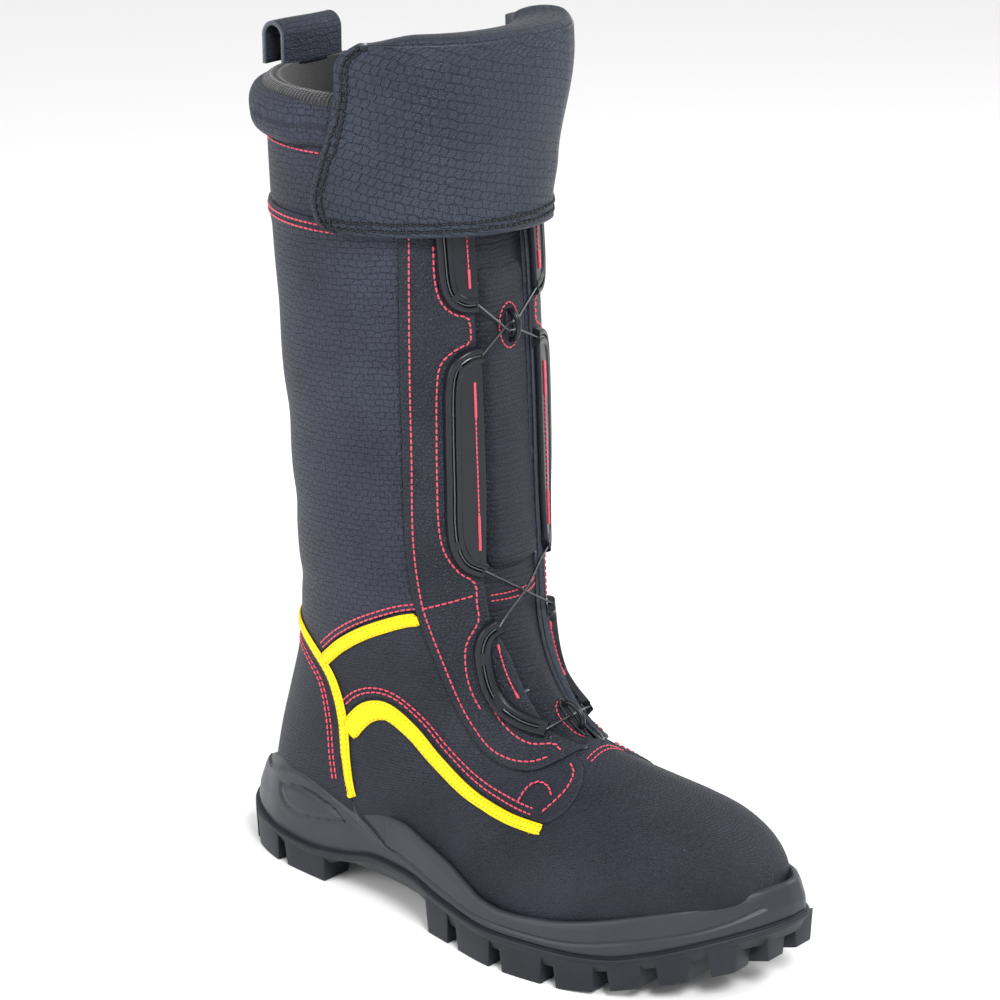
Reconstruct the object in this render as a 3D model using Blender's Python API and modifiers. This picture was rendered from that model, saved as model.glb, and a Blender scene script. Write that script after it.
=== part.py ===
"""A lace-up fire boot for the right foot, with a wire lacing reel under a fold-down collar flap.

Blender 4.5. Sizes below are in millimetres and become metres when a mesh is made.
The toe points along -Y, the outer (lateral) side is -X, and the ground is Z = 0.
Shapes are described by u, the distance from the back of the heel towards the toe,
v, the distance from the middle towards the lateral side, and z, the height.
"""

import math

import bmesh
import bpy
from mathutils import Vector

MM = 0.001
SOLE_LENGTH = 318.0
GAP = 0.3
LAYER_GAP = 0.5

# The layers of the upper, as distances from the outer face of the main leather.
LEATHER = 2.0
STIFFENER_TOP = -(LEATHER + LAYER_GAP)
STIFFENER = 1.8
LINING_TOP = -5.5
LINING = 1.5
OVERLAY = 1.9
OVERLAY_TOP = 2.5
TONGUE_TOP = STIFFENER_TOP - 0.3
TONGUE = 1.6

# The upper is lofted through these sections, from the top of the shaft to the toe. Each has its
# back or bottom point (u, z), its front or top point (u, z), its lateral and medial half widths,
# the share of the way across where it is widest, and the roundness of its two ends.
SECTIONS = (
    (29, 426, 147, 432, 59.5, 59.5, 0.50, 2.0, 2.0),
    (31, 388, 149, 392, 58.5, 58.5, 0.50, 2.0, 2.0),
    (32, 350, 151, 354, 58.5, 58.5, 0.50, 2.0, 2.0),
    (34, 300, 155, 306, 57.5, 57.5, 0.50, 2.0, 2.0),
    (37, 250, 158, 262, 56.5, 56.5, 0.50, 2.0, 2.0),
    (40, 205, 160, 224, 54.5, 54.5, 0.50, 2.0, 2.0),
    (42, 165, 162, 193, 52, 51, 0.49, 2.0, 2.0),
    (42, 135, 165, 168, 49, 48, 0.47, 2.0, 2.0),
    (38, 110, 170, 147, 46, 44, 0.44, 2.0, 1.95),
    (30, 85, 177, 130, 44, 42, 0.40, 2.0, 1.9),
    (23, 60, 186, 117, 42, 40, 0.36, 2.1, 1.9),
    (21, 36, 196, 107, 42, 40, 0.33, 2.3, 1.9),
    (34, 20, 207, 99, 43, 40, 0.30, 3.0, 1.9),
    (76, 18, 219, 94, 44, 40, 0.30, 3.6, 1.95),
    (122, 18, 232, 91, 48, 42, 0.30, 3.8, 2.05),
    (168, 16, 247, 87, 54, 47, 0.32, 4.0, 2.15),
    (208, 16, 261, 83, 55, 49, 0.34, 4.0, 2.3),
    (241, 20, 275, 78, 48, 48, 0.36, 3.8, 2.4),
    (267, 25, 288, 71, 38, 44, 0.38, 3.4, 2.4),
    (285, 31, 298, 63, 27, 37, 0.42, 3.0, 2.3),
    (298, 37, 305, 55, 15, 27, 0.46, 2.6, 2.2),
    (306, 42, 309, 50, 4, 13, 0.50, 2.0, 2.0),
)
SHAFT_ROWS = (0, 1, 3, 5, 6, 7, 8)
FOOT_START = 9
FOOT_STEP = 0.9
AROUND = 24
LINING_STEP = 1.1
LINING_AROUND = 18
TOE_END = 21
LINING_TOE_END = 20.25

# The sole's outline and its heights, each as (u, value).
OUTLINE_LATERAL = (
    (0, 2), (4, 14), (12, 25), (25, 34), (45, 41), (80, 44), (120, 46), (160, 54),
    (200, 61), (230, 58), (260, 49), (285, 35), (302, 19), (313, 4), (318, -9),
)
OUTLINE_MEDIAL = (
    (0, 14), (4, 18), (12, 27), (25, 35), (45, 40), (80, 40), (120, 38), (160, 41),
    (200, 50), (230, 53), (260, 52), (285, 45), (302, 36), (313, 26), (318, 19),
)
GROUND = ((0, 2), (10, 0), (230, 0), (250, 2), (271, 7), (290, 12), (305, 16), (318, 21))
TREAD = ((0, 10), (75, 10), (95, 16), (140, 16), (165, 10), (235, 10), (271, 16), (318, 29))
RIB = ((0, 22), (40, 18), (66, 17), (90, 20), (115, 25), (137, 25), (165, 21), (200, 19), (240, 19),
       (257, 20), (274, 24), (293, 30), (318, 38))
FLOOR = ((0, 30), (60, 30), (100, 31), (140, 30), (170, 27), (200, 24.5), (235, 26.5), (270, 33),
         (300, 41), (318, 46))
RIM = ((0, 38), (18, 46), (42, 54), (60, 57), (80, 54), (98, 49), (114, 48), (129, 48), (146, 45),
       (164, 41), (178, 36), (190, 32), (205, 30.5), (229, 32.5), (248, 36), (269, 42), (293, 49),
       (310, 55), (318, 57))

# Seams of the upper, in side view as (u, z).
HEEL_SEAM = (
    (20, 127), (42, 126.5), (62, 124), (76, 117.5), (84.5, 110), (88.3, 100), (89.7, 88), (90.1, 77),
    (90.9, 67), (93.5, 55), (99, 44), (108, 32), (118, 20),
)
ANKLE_SEAM = (
    (78, 117.6), (84, 123.4), (94, 131.8), (106.6, 140.1), (119.2, 146.6), (130.1, 151.2),
    (139.3, 153.6), (157, 161), (180, 164),
)
SIDE_SEAM = (
    (89.9, 85.5), (95, 92.5), (103, 100), (112, 103.8), (121, 102.8), (133.7, 93.8), (144, 84.6),
    (155.6, 77), (166, 72.7), (178.3, 70.2), (196, 69.3), (215, 70.4),
)
TAB_EDGE = (
    (215, 70.4), (220, 74), (223.5, 79), (222.5, 85), (217, 90), (209.5, 93),
)
FACING_EDGE = ((131, 372), (132, 327), (134, 236), (134, 190), (136, 160), (139, 145), (144, 128),
               (150, 112), (157, 100), (168, 89), (180, 84.5), (192, 84.5), (201, 88), (212, 96))
BAND_BOTTOM = 334.0
BAND_TOP = 366.0
COLLAR_TOP = 388.0
TONGUE_SEAM = 156.0

# The front opening, as (half width, z) from the top down.
OPENING = ((18.5, 440), (18.5, 210), (20, 172), (19, 150), (14, 132), (13, 112), (13, 101), (9, 96))

HEEL_PIPING = 4.8
ANKLE_PIPING = 6.4
SIDE_PIPING = 7.6
PIPING = 0.9

# The flap. Its hinge is the fold at the top of its front.
FLAP_BOTTOM = 329.0
FLAP_TOP = 414.0
FLAP = 2.6
FLAP_SIDE_GAP = 3.6
FLAP_FRONT_GAP = 13.4
FLAP_REAR_EDGE = (
    (329, 112), (331, 104), (335, 99.5), (344, 97.5), (361, 101.5), (378, 106), (395, 108.3), (424, 109),
)

# The lacing reel, on the tongue.
REEL_HEIGHT = 351.0
REEL_PLATE_TOP = 1.0
LACE_ENTRY = 2.2
KNOB_RADIUS = 16.0
KNOB_TOP = 9.0

# Guides and lace as (v, z) in front view. A medial guide mirrors the lateral one.
GUIDE_ROUTES = {
    "upper": ((18.5, 297), (23.5, 297.5), (27.5, 301), (29.5, 308), (30, 322), (30, 336), (28, 345),
              (24.5, 350)),
    "middle": ((17.5, 274), (23, 273), (27.5, 269), (29.5, 260), (30, 240), (30, 215), (30, 197),
               (29, 186), (26, 178), (20, 173.5)),
    "lower": ((16.5, 147), (20.5, 143.5), (22.5, 137), (22.5, 128), (22, 119), (20.5, 110), (17.5, 104),
              (13.5, 101)),
}
GUIDE_HEIGHT = 3.1
GUIDE_WIDTH = 8.5
LACE_RADIUS = 0.6
TONGUE_GUIDES = {"upper": 284.0, "lower": 106.0}


# ---------------------------------------------------------------- curves through points


def value_at(points, place):
    """A smooth curve through (place, value) points, without overshoot, and level outside them."""
    if place <= points[0][0]:
        return points[0][1]
    if place >= points[-1][0]:
        return points[-1][1]
    k = next(i for i in range(len(points) - 1) if place <= points[i + 1][0])
    slopes = [(b[1] - a[1]) / (b[0] - a[0]) for a, b in zip(points, points[1:])]

    def tangent(i):
        if i == 0 or i == len(points) - 1:
            return slopes[min(i, len(slopes) - 1)]
        before, after = slopes[i - 1], slopes[i]
        return 0.0 if before * after <= 0 else 2 * before * after / (before + after)

    (x0, y0), (x1, y1) = points[k], points[k + 1]
    step = x1 - x0
    s = (place - x0) / step
    return (
        y0 * (1 + 2 * s) * (1 - s) ** 2
        + tangent(k) * step * s * (1 - s) ** 2
        + y1 * s * s * (3 - 2 * s)
        + tangent(k + 1) * step * s * s * (s - 1)
    )


def catmull(a, b, c, d, s):
    square, cube = 2 * a - 5 * b + 4 * c - d, 3 * b - a - 3 * c + d
    return 0.5 * (2 * b + (c - a) * s + square * s ** 2 + cube * s ** 3)


def smooth_line(points, steps):
    """The points of a smooth line through the given ones, with this many steps between two of them."""
    ends = [points[0], *points, points[-1]]
    line = []
    for i in range(len(points) - 1):
        for k in range(steps):
            line.append(tuple(catmull(*values, k / steps) for values in zip(*ends[i:i + 4])))
    return [*line, tuple(points[-1])]


def moved(line, distance):
    """The line moved to its left by a distance."""
    out = []
    for i, (x, y) in enumerate(line):
        a, b = line[max(i - 1, 0)], line[min(i + 1, len(line) - 1)]
        length = math.hypot(b[0] - a[0], b[1] - a[1])
        out.append((x - distance * (b[1] - a[1]) / length, y + distance * (b[0] - a[0]) / length))
    return out


# ---------------------------------------------------------------- the form of the upper


def place(u, v, z):
    return Vector((-v, SOLE_LENGTH / 2 - u, z))


def section_at(t):
    """The loft's section at t, which counts the rows of SECTIONS and may lie between two."""
    k = min(int(t), len(SECTIONS) - 2)
    rows = [SECTIONS[min(max(i, 0), len(SECTIONS) - 1)] for i in (k - 1, k, k + 1, k + 2)]
    return [catmull(*values, t - k) for values in zip(*rows)]


def form_point(t, angle):
    """A point of the upper. Angle 0 is the back or bottom, 90 degrees lateral, 180 the front or top."""
    back_u, back_z, front_u, front_z, lateral, medial, widest, low, high = section_at(t)
    across, along = math.sin(angle), math.cos(angle)
    power = 2 / (low if along > 0 else high)
    reach = abs(along) ** power
    share = widest * (1 - reach) if along > 0 else widest + (1 - widest) * reach
    v = math.copysign(abs(across) ** power, across) * (lateral + medial) / 2 + (lateral - medial) / 2
    return place(back_u + (front_u - back_u) * share, v, back_z + (front_z - back_z) * share)


def form_normal(t, angle):
    last = len(SECTIONS) - 1
    down = form_point(min(t + 0.05, last), angle) - form_point(max(t - 0.05, 0), angle)
    round_it = form_point(t, angle + 0.04) - form_point(t, angle - 0.04)
    return down.cross(round_it).normalized()


def at_height(angle, z):
    """The t at which the form has height z, at this angle, on the shaft or the front."""
    low, high = 0.0, float(len(SECTIONS) - 1)
    for _ in range(30):
        middle = (low + high) / 2
        if form_point(middle, angle).z > z:
            low = middle
        else:
            high = middle
    return (low + high) / 2


def ring_point(angle, z, out):
    t = at_height(angle, z)
    return form_point(t, angle) + form_normal(t, angle) * out


def front_point(v, z, out=0.0):
    """The point on the front of the form that front view shows at (v, z), and its normal."""
    low, high = math.radians(90), math.radians(270)
    for _ in range(30):
        middle = (low + high) / 2
        if -form_point(at_height(middle, z), middle).x > v:
            low = middle
        else:
            high = middle
    angle = (low + high) / 2
    t = at_height(angle, z)
    normal = form_normal(t, angle)
    return form_point(t, angle) + normal * out, normal


def form_rows(foot_step, end):
    """The t of each ring of the mesh: few on the straight shaft, more on the foot."""
    steps = round((end - FOOT_START) / foot_step)
    return [*SHAFT_ROWS, *[FOOT_START + (end - FOOT_START) * k / steps for k in range(steps + 1)]]


# ---------------------------------------------------------------- making objects

for thing in list(bpy.data.objects):
    bpy.data.objects.remove(thing, do_unlink=True)
boot = bpy.data.collections.new("fire_boot")
cutters = bpy.data.collections.new("cutters")
for collection in (boot, cutters):
    bpy.context.scene.collection.children.link(collection)


def material(name, colour, roughness, metallic=0.0):
    made = bpy.data.materials.new(name)
    made.use_nodes = True
    shader = made.node_tree.nodes["Principled BSDF"]
    shader.inputs["Base Color"].default_value = (*colour, 1.0)
    shader.inputs["Roughness"].default_value = roughness
    shader.inputs["Metallic"].default_value = metallic
    return made


LOOKS = {
    "leather": material("leather", (0.030, 0.033, 0.040), 0.55),
    "facing_leather": material("facing_leather", (0.024, 0.025, 0.029), 0.6),
    "suede": material("suede", (0.035, 0.045, 0.060), 0.9),
    "lining": material("lining", (0.05, 0.05, 0.055), 0.95),
    "piping": material("piping", (0.95, 0.83, 0.02), 0.5),
    "rubber": material("rubber", (0.028, 0.029, 0.032), 0.7),
    "midsole": material("midsole", (0.045, 0.047, 0.052), 0.6),
    "plastic": material("plastic", (0.022, 0.024, 0.028), 0.35),
    "hook_and_loop": material("hook_and_loop", (0.02, 0.02, 0.022), 0.95),
    "steel": material("steel", (0.55, 0.56, 0.58), 0.35, 1.0),
    "wire": material("wire", (0.32, 0.33, 0.35), 0.35, 1.0),
    "board": material("board", (0.55, 0.50, 0.40), 0.9),
    "footbed": material("footbed", (0.06, 0.065, 0.075), 0.95),
}


def new_object(name, mesh, look):
    """An object for a part, or for a cutter where look is None."""
    made = bpy.data.objects.new(name, mesh)
    if look:
        mesh.materials.append(LOOKS[look])
        boot.objects.link(made)
    else:
        cutters.objects.link(made)
        made.hide_render = True
        made.display_type = "WIRE"
    return made


def mesh_of(name, points, faces):
    """A mesh whose faces all point out, from points in millimetres."""
    mesh = bpy.data.meshes.new(name)
    mesh.from_pydata([tuple(Vector(p) * MM) for p in points], [], faces)
    work = bmesh.new()
    work.from_mesh(mesh)
    bmesh.ops.recalc_face_normals(work, faces=work.faces)
    work.to_mesh(mesh)
    work.free()
    mesh.shade_smooth()
    mesh.set_sharp_from_angle(angle=math.radians(40))
    return mesh


def rings_to_faces(rings, size, closed=False, capped=True):
    """Quads between rings of points, and a cap at each end."""
    faces = []
    for i in range(rings if closed else rings - 1):
        a, b = i * size, (i + 1) % rings * size
        faces += [(a + k, a + (k + 1) % size, b + (k + 1) % size, b + k) for k in range(size)]
    if capped and not closed:
        faces += [tuple(range(size))[::-1], tuple((rings - 1) * size + k for k in range(size))]
    return faces


def add_boolean(target, operation, other):
    step = target.modifiers.new(f"{operation.lower()}_{other.name}", "BOOLEAN")
    step.operation = operation
    step.solver = "EXACT"
    step.use_self = True
    step.object = other


def cut(target, *others):
    for other in others:
        add_boolean(target, "DIFFERENCE", other)


def keep(target, *others):
    for other in others:
        add_boolean(target, "INTERSECT", other)


def prism(name, outline, low, high, plane="side", look=None):
    """A flat outline as a prism: (u, z) through x from low to high, or (x, z) through y."""
    curve = bpy.data.curves.new(name, "CURVE")
    curve.dimensions = "2D"
    curve.fill_mode = "BOTH"
    curve.extrude = (high - low) / 2 * MM
    spline = curve.splines.new("POLY")
    spline.points.add(len(outline) - 1)
    for point, (a, b) in zip(spline.points, outline):
        point.co = (a * MM, b * MM, 0, 1)
    spline.use_cyclic_u = True
    flat = bpy.data.objects.new(name, curve)
    boot.objects.link(flat)
    mesh = bpy.data.meshes.new_from_object(flat.evaluated_get(bpy.context.evaluated_depsgraph_get()))
    bpy.data.objects.remove(flat)
    middle = (low + high) / 2 * MM
    for vertex in mesh.vertices:
        a, b, deep = vertex.co
        if plane == "side":
            vertex.co = (middle + deep, SOLE_LENGTH / 2 * MM - a, b)
        else:
            vertex.co = (a, middle + deep, b)
    work = bmesh.new()
    work.from_mesh(mesh)
    bmesh.ops.remove_doubles(work, verts=work.verts, dist=0.01 * MM)
    bmesh.ops.recalc_face_normals(work, faces=work.faces)
    work.to_mesh(mesh)
    work.free()
    return new_object(name, mesh, look)


def toe_ring(end, out, angles):
    """The last ring, at the tip of the toe: it grows, and moves forward, by the distance out."""
    ring = [form_point(end, a) for a in angles]
    middle = sum(ring, Vector()) / len(ring)
    along = form_point(end, math.pi) - form_point(end, 0)
    forward = Vector((1, 0, 0)).cross(along).normalized()
    radius = sum((p - middle).length for p in ring) / len(ring)
    size = max(0.3, 1 + out / radius)
    return [middle + (p - middle) * size + forward * out for p in ring]


def form_surface(name, out, foot_step=FOOT_STEP, around=AROUND, top=0.0, closed=False):
    """The upper's form, moved out by a distance: open at the shaft's top, or closed to be a cutter."""
    end = TOE_END if out > LINING_TOP else LINING_TOE_END
    rows = [top, *[t for t in form_rows(foot_step, end) if t > top]]
    angles = [2 * math.pi * k / around for k in range(around)]
    points = [form_point(t, a) + form_normal(t, a) * out for t in rows[:-1] for a in angles]
    points += toe_ring(end, out, angles)
    faces = rings_to_faces(len(rows), around, capped=False)
    last = (len(rows) - 1) * around
    faces.append(tuple(last + k for k in range(around)))
    if closed:
        faces.append(tuple(range(around))[::-1])
    return mesh_of(name, points, faces)


def layer(name, out, thickness, look, foot_step=FOOT_STEP, around=AROUND, top=0.0):
    """A shell of the upper: its outer face lies out from the form, and its thickness goes inwards."""
    mesh = form_surface(name, out, foot_step, around, top)
    made = new_object(name, mesh, look)
    shell = made.modifiers.new("thickness", "SOLIDIFY")
    shell.thickness = thickness * MM
    shell.offset = -1.0
    return made


def solid_form(name, out, foot_step=FOOT_STEP, around=AROUND):
    """The upper's form, moved out by a distance, as a closed cutter."""
    return new_object(name, form_surface(name, out, foot_step, around, closed=True), None)


def sweep(name, points, normals, profile, look):
    """A bar whose profile, in (across, out) coordinates, follows points on a surface."""
    corners = []
    for i, (point, normal) in enumerate(zip(points, normals)):
        ahead = (points[min(i + 1, len(points) - 1)] - points[max(i - 1, 0)]).normalized()
        across = ahead.cross(normal).normalized()
        corners += [point + across * a + normal * b for a, b in profile]
    return new_object(name, mesh_of(name, corners, rings_to_faces(len(points), len(profile))), look)


def tube(name, points, radius, look, sides_resolution=2):
    curve = bpy.data.curves.new(name, "CURVE")
    curve.dimensions = "3D"
    curve.bevel_depth = radius * MM
    curve.bevel_resolution = sides_resolution
    curve.use_fill_caps = True
    spline = curve.splines.new("POLY")
    spline.points.add(len(points) - 1)
    for target, point in zip(spline.points, points):
        target.co = (*(point * MM), 1)
    made = bpy.data.objects.new(name, curve)
    curve.materials.append(LOOKS[look])
    boot.objects.link(made)
    return made


# ---------------------------------------------------------------- the sole


def sole_stations(count):
    """Places along the sole, closer together at its two ends."""
    return [SOLE_LENGTH * (1 - math.cos(math.pi * k / (count - 1))) / 2 for k in range(count)]


def sole_loft(name, levels, look, stations=26):
    """A solid of the sole's outline. Each level is (inset, height), from the bottom up, and a
    height is a function of u."""
    rings = []
    for u in sole_stations(stations):
        lateral, medial = value_at(OUTLINE_LATERAL, u), value_at(OUTLINE_MEDIAL, u)
        middle, half_width = (lateral - medial) / 2, (lateral + medial) / 2
        ring = []
        for side in (1, -1):
            for inset, height in levels if side == 1 else reversed(levels):
                near = SOLE_LENGTH / 2 + (u - SOLE_LENGTH / 2) * (1 - 2 * inset / SOLE_LENGTH)
                reach = max(half_width - inset, 0.3 * half_width)
                ring.append(place(near, middle + side * reach, height(u)))
        rings += ring
    faces = rings_to_faces(stations, 2 * len(levels))
    return new_object(name, mesh_of(name, rings, faces), look)


def height_of(table, rise=0.0):
    return lambda u: value_at(table, u) + rise


# Lugs round the edge, as the u where each begins and ends. The medial ones mirror the lateral.
EDGE_LUGS = (
    (3, 17), (20, 44), (48, 78), (150, 168), (173, 198), (203, 227), (232, 252), (257, 272), (277, 290),
    (295, 305),
)
CENTRE_LUGS = ((24, 42), (50, 70), (172, 190), (200, 218), (228, 246), (256, 272))
LUG_DEPTH = 19.0
LUG_TAPER = 1.4


def wedge(corners_top, corners_bottom):
    """The points of a block from its four top and four bottom corners."""
    return [*corners_top, *corners_bottom]


def edge_lug(start, end, side):
    outline = OUTLINE_LATERAL if side == 1 else OUTLINE_MEDIAL
    top, bottom = [], []
    for ring, taper, table, rise in ((top, 0.0, RIB, -1.2), (bottom, LUG_TAPER, GROUND, 0.0)):
        for u, deep in ((start + taper, 0), (end - taper, 0), (end - taper, 1), (start + taper, 1)):
            width = value_at(outline, u)
            inner = max(width - LUG_DEPTH, 0.3 * width) if deep else width - 0.4 - taper
            height = value_at(table, u) + rise
            if deep and ring is top:
                height = value_at(TREAD, u) + 1.0
            ring.append(place(u, side * inner, height))
    return wedge(top, bottom)


def centre_lug(start, end):
    top, bottom = [], []
    for ring, taper, table, rise in ((top, 0.0, TREAD, 1.0), (bottom, LUG_TAPER, GROUND, 0.0)):
        for u, share in ((start + taper, 1), (end - taper, 1), (end - taper, -1), (start + taper, -1)):
            ring.append(place(u, share * (8.5 - taper) + 4 * (u > 150), value_at(table, u) + rise))
    return wedge(top, bottom)


def tip_lug(low, high, near, deep):
    """A lug on the sole's end, across it, from the medial v to the lateral v."""
    top, bottom = [], []
    for ring, taper, table, rise in ((top, 0.0, RIB, -1.2), (bottom, LUG_TAPER, GROUND, 0.0)):
        for u, v in ((near, low + taper), (near, high - taper), (deep, high - taper), (deep, low + taper)):
            height = value_at(TREAD, u) + 1.0 if ring is top and u == deep else value_at(table, u) + rise
            ring.append(place(u, v, height))
    return wedge(top, bottom)


def block_mesh(name, blocks):
    points, faces = [], []
    for corners in blocks:
        n = len(points)
        points += corners
        faces += [(n, n + 1, n + 2, n + 3), (n + 7, n + 6, n + 5, n + 4)]
        faces += [(n + k, n + 4 + k, n + 4 + (k + 1) % 4, n + (k + 1) % 4) for k in range(4)]
    return mesh_of(name, points, faces)


def make_outsole():
    plate = sole_loft(
        "outsole",
        (
            (3.0, height_of(TREAD)), (0.6, height_of(RIB, -4.0)), (0.0, height_of(RIB, -2.6)),
            (0.6, height_of(RIB)),
        ),
        "rubber",
    )
    blocks = [edge_lug(a, b, side) for a, b in EDGE_LUGS for side in (1, -1)]
    blocks += [centre_lug(a, b) for a, b in CENTRE_LUGS]
    blocks += [tip_lug(-29, -15, 314, 296), tip_lug(-11, 3, 312, 294)]
    for k, block in enumerate(blocks):
        add_boolean(plate, "UNION", new_object(f"lug_{k}", block_mesh(f"lug_{k}", [block]), None))


def make_midsole(upper_solid):
    """The midsole is a cup: the upper stands in it, on its floor, and the shank lies in a pocket."""
    cup = sole_loft(
        "midsole",
        (
            (1.0, height_of(RIB, GAP)),
            (0.2, lambda u: value_at(RIB, u) * 0.6 + value_at(RIM, u) * 0.4),
            (1.2, height_of(RIM, -2.5)),
            (2.8, height_of(RIM)),
        ),
        "midsole",
    )
    above = [(u, value_at(FLOOR, u)) for u in range(-12, 331, 18)] + [(330, 150), (-12, 150)]
    room = new_object("upper_room", upper_solid.data.copy(), None)
    keep(room, prism("above_floor", above, -90, 90))
    pocket = prism("shank_pocket", shank_outline(GAP), -9 - GAP, 9 + GAP)
    cut(cup, room, pocket)


def shank_outline(rise):
    """The shank's side view, grown by a distance. It follows the midsole's floor, in its arch."""
    places = [62 + 6 * k for k in range(19)]
    top = [(u, value_at(FLOOR, u) - 0.5 + (3 if rise else 0)) for u in places]
    bottom = [(u, value_at(FLOOR, u) - 2.3 - rise) for u in reversed(places)]
    top[0] = (top[0][0] - rise, top[0][1])
    top[-1] = (top[-1][0] + rise, top[-1][1])
    bottom[-1] = (bottom[-1][0] - rise, bottom[-1][1])
    bottom[0] = (bottom[0][0] + rise, bottom[0][1])
    return top + bottom


def make_inner_sole(inside_stiffener, inside_lining):
    """The pieces between the midsole and the foot, each cut to the inside of the upper."""
    slabs = (
        ("puncture_plate", GAP, 1.5, "steel", inside_stiffener),
        ("insole_board", 1.8, 3.8, "board", inside_stiffener),
        ("footbed", 4.1, 8.1, "footbed", inside_lining),
    )
    for name, low, high, look, inside in slabs:
        slab = sole_loft(name, ((0.5, height_of(FLOOR, low)), (0.5, height_of(FLOOR, high))), look, 22)
        keep(slab, inside)
    prism("shank", shank_outline(0.0), -9, 9, look="steel")


# ---------------------------------------------------------------- the upper


def region(name, *lines):
    """A prism through the whole width, from lines that join into one outline in side view."""
    return prism(name, [point for line in lines for point in line], -95, 95)


def half(name, side):
    """A box over the lateral (1) or the medial (-1) half."""
    box = ((-60, -40), (380, -40), (380, 480), (-60, 480))
    low, high = (-95, -GAP / 2) if side == 1 else (GAP / 2, 95)
    return prism(name, box, low, high)


def band_along(name, line, width):
    """A strip of this width in side view, with the line in its middle."""
    left, right = moved(line, width / 2), moved(line, -width / 2)
    return prism(name, left + right[::-1], -95, 95)


def make_upper(below_rim):
    heel = smooth_line(HEEL_SEAM, 2)
    ankle = smooth_line(ANKLE_SEAM, 2)
    side = smooth_line(SIDE_SEAM, 2)
    tab = smooth_line(TAB_EDGE, 2)
    at_ankle = min(range(len(heel)), key=lambda i: abs(heel[i][0] - ANKLE_SEAM[0][0]))
    at_side = min(range(len(heel)), key=lambda i: abs(heel[i][1] - 88))
    half_gap = GAP / 2

    below_floor = [(u, value_at(FLOOR, u) + GAP) for u in range(-12, 331, 18)] + [(330, -20), (-12, -20)]
    below = prism("below_floor", below_floor, -95, 95)
    opening_outline = [(-x, z) for x, z in OPENING] + list(reversed(OPENING))
    opening = prism("front_opening", opening_outline, -160, 60, "front")
    halves = {1: half("lateral_half", 1), -1: half("medial_half", -1)}
    names = {1: "lateral", -1: "medial"}

    heel_cover = layer("heel_cover", 0, LEATHER, "leather")
    below_heel = [(118, -10), (-20, -10), (-20, HEEL_SEAM[0][1])]
    keep(heel_cover, region("heel_region", moved(heel, -half_gap), below_heel))
    cut(heel_cover, below)

    shaft = layer("shaft_panel", 0, LEATHER, "leather")
    upper_line = moved(heel[:at_ankle], half_gap) + moved(ankle, half_gap)
    keep(shaft, region("shaft_region", [(-20, HEEL_SEAM[0][1] + half_gap)], upper_line,
                       [(240, 165), (240, BAND_BOTTOM - half_gap), (-20, BAND_BOTTOM - half_gap)]))
    cut(shaft, opening)

    band = layer("top_band", 0, LEATHER, "leather")
    keep(band, region("band_region", [(-20, BAND_BOTTOM + half_gap), (240, BAND_BOTTOM + half_gap),
                                      (240, BAND_TOP - half_gap), (-20, BAND_TOP - half_gap)]))
    cut(band, opening)

    vamp = layer("vamp", 0, LEATHER, "leather")
    lower_edge = moved(side, -half_gap)[1:] + moved(tab, -half_gap)[1:]
    front_edge = [(211.8, 99), (211.8, 130), (335, 130), (335, -10), (118.5, -10)]
    keep(vamp, region("vamp_region", lower_edge, front_edge, moved(heel[at_side:], half_gap)[::-1]))
    cut(vamp, below)

    quarter_line = moved(heel[at_ankle + 1:at_side], half_gap)
    quarter_outline = (
        quarter_line + moved(side, half_gap)[1:] + moved(tab, half_gap)[1:]
        + [(210.9, 99), (210.9, 166), (182, 164 - half_gap)] + moved(ankle, -half_gap)[::-1]
    )
    quarter_region = region("quarter_region", quarter_outline)
    facing_line = smooth_line(FACING_EDGE, 2)
    facing_region = region("facing_region", facing_line, [(240, 96), (240, 372)])
    ankle_strip = [p for p in moved(ankle, -ANKLE_PIPING / 2 - 0.4) if 82 < p[0] < 137]
    side_strip = moved(side, -SIDE_PIPING / 2 - 0.4)[1:]
    strips = {
        "ankle": band_along("ankle_strip", ankle_strip, ANKLE_PIPING),
        "side": band_along("side_strip", side_strip, SIDE_PIPING),
    }
    heel_strip = moved(heel, HEEL_PIPING / 2 - 0.6)
    heel_band = band_along("heel_strip", heel_strip, HEEL_PIPING)
    heel_room = band_along("heel_strip_room", heel_strip, HEEL_PIPING + 2 * GAP)
    for sign, name in names.items():
        quarter = layer(f"quarter_{name}", 0, LEATHER, "leather")
        keep(quarter, quarter_region, halves[sign])
        cut(quarter, opening)
        facing = layer(f"facing_{name}", OVERLAY_TOP, OVERLAY, "facing_leather")
        keep(facing, facing_region)
        cut(facing, opening)
        keep(facing, halves[sign])
        for where, strip in strips.items():
            piece = layer(f"piping_{where}_{name}", LAYER_GAP + PIPING, PIPING, "piping")
            keep(piece, strip, halves[sign])
            cut(piece, heel_room, below_rim)
    piece = layer("piping_heel", LAYER_GAP + PIPING, PIPING, "piping")
    keep(piece, heel_band)
    cut(piece, below_rim)


def make_inner_layers(below_board):
    lining = layer("lining", LINING_TOP, LINING, "lining", LINING_STEP, LINING_AROUND, top=1.05)
    cut(lining, below_board)
    floor = [(u, value_at(FLOOR, u) + GAP) for u in range(-12, 331, 18)] + [(330, -20), (-12, -20)]
    below = prism("below_floor_inner", floor, -95, 95)
    toe = layer("toe_cap", STIFFENER_TOP, STIFFENER, "steel")
    keep(toe, region("toe_region", [(262, -10), (340, -10), (340, 140), (262, 140)]))
    cut(toe, below)
    stiffener = layer("heel_stiffener", STIFFENER_TOP, STIFFENER, "board")
    top_edge = smooth_line(((-20, 96), (30, 96), (60, 88), (84, 60), (88, -10)), 2)
    keep(stiffener, region("stiffener_region", top_edge, [(-20, -10)]))
    cut(stiffener, below)


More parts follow.
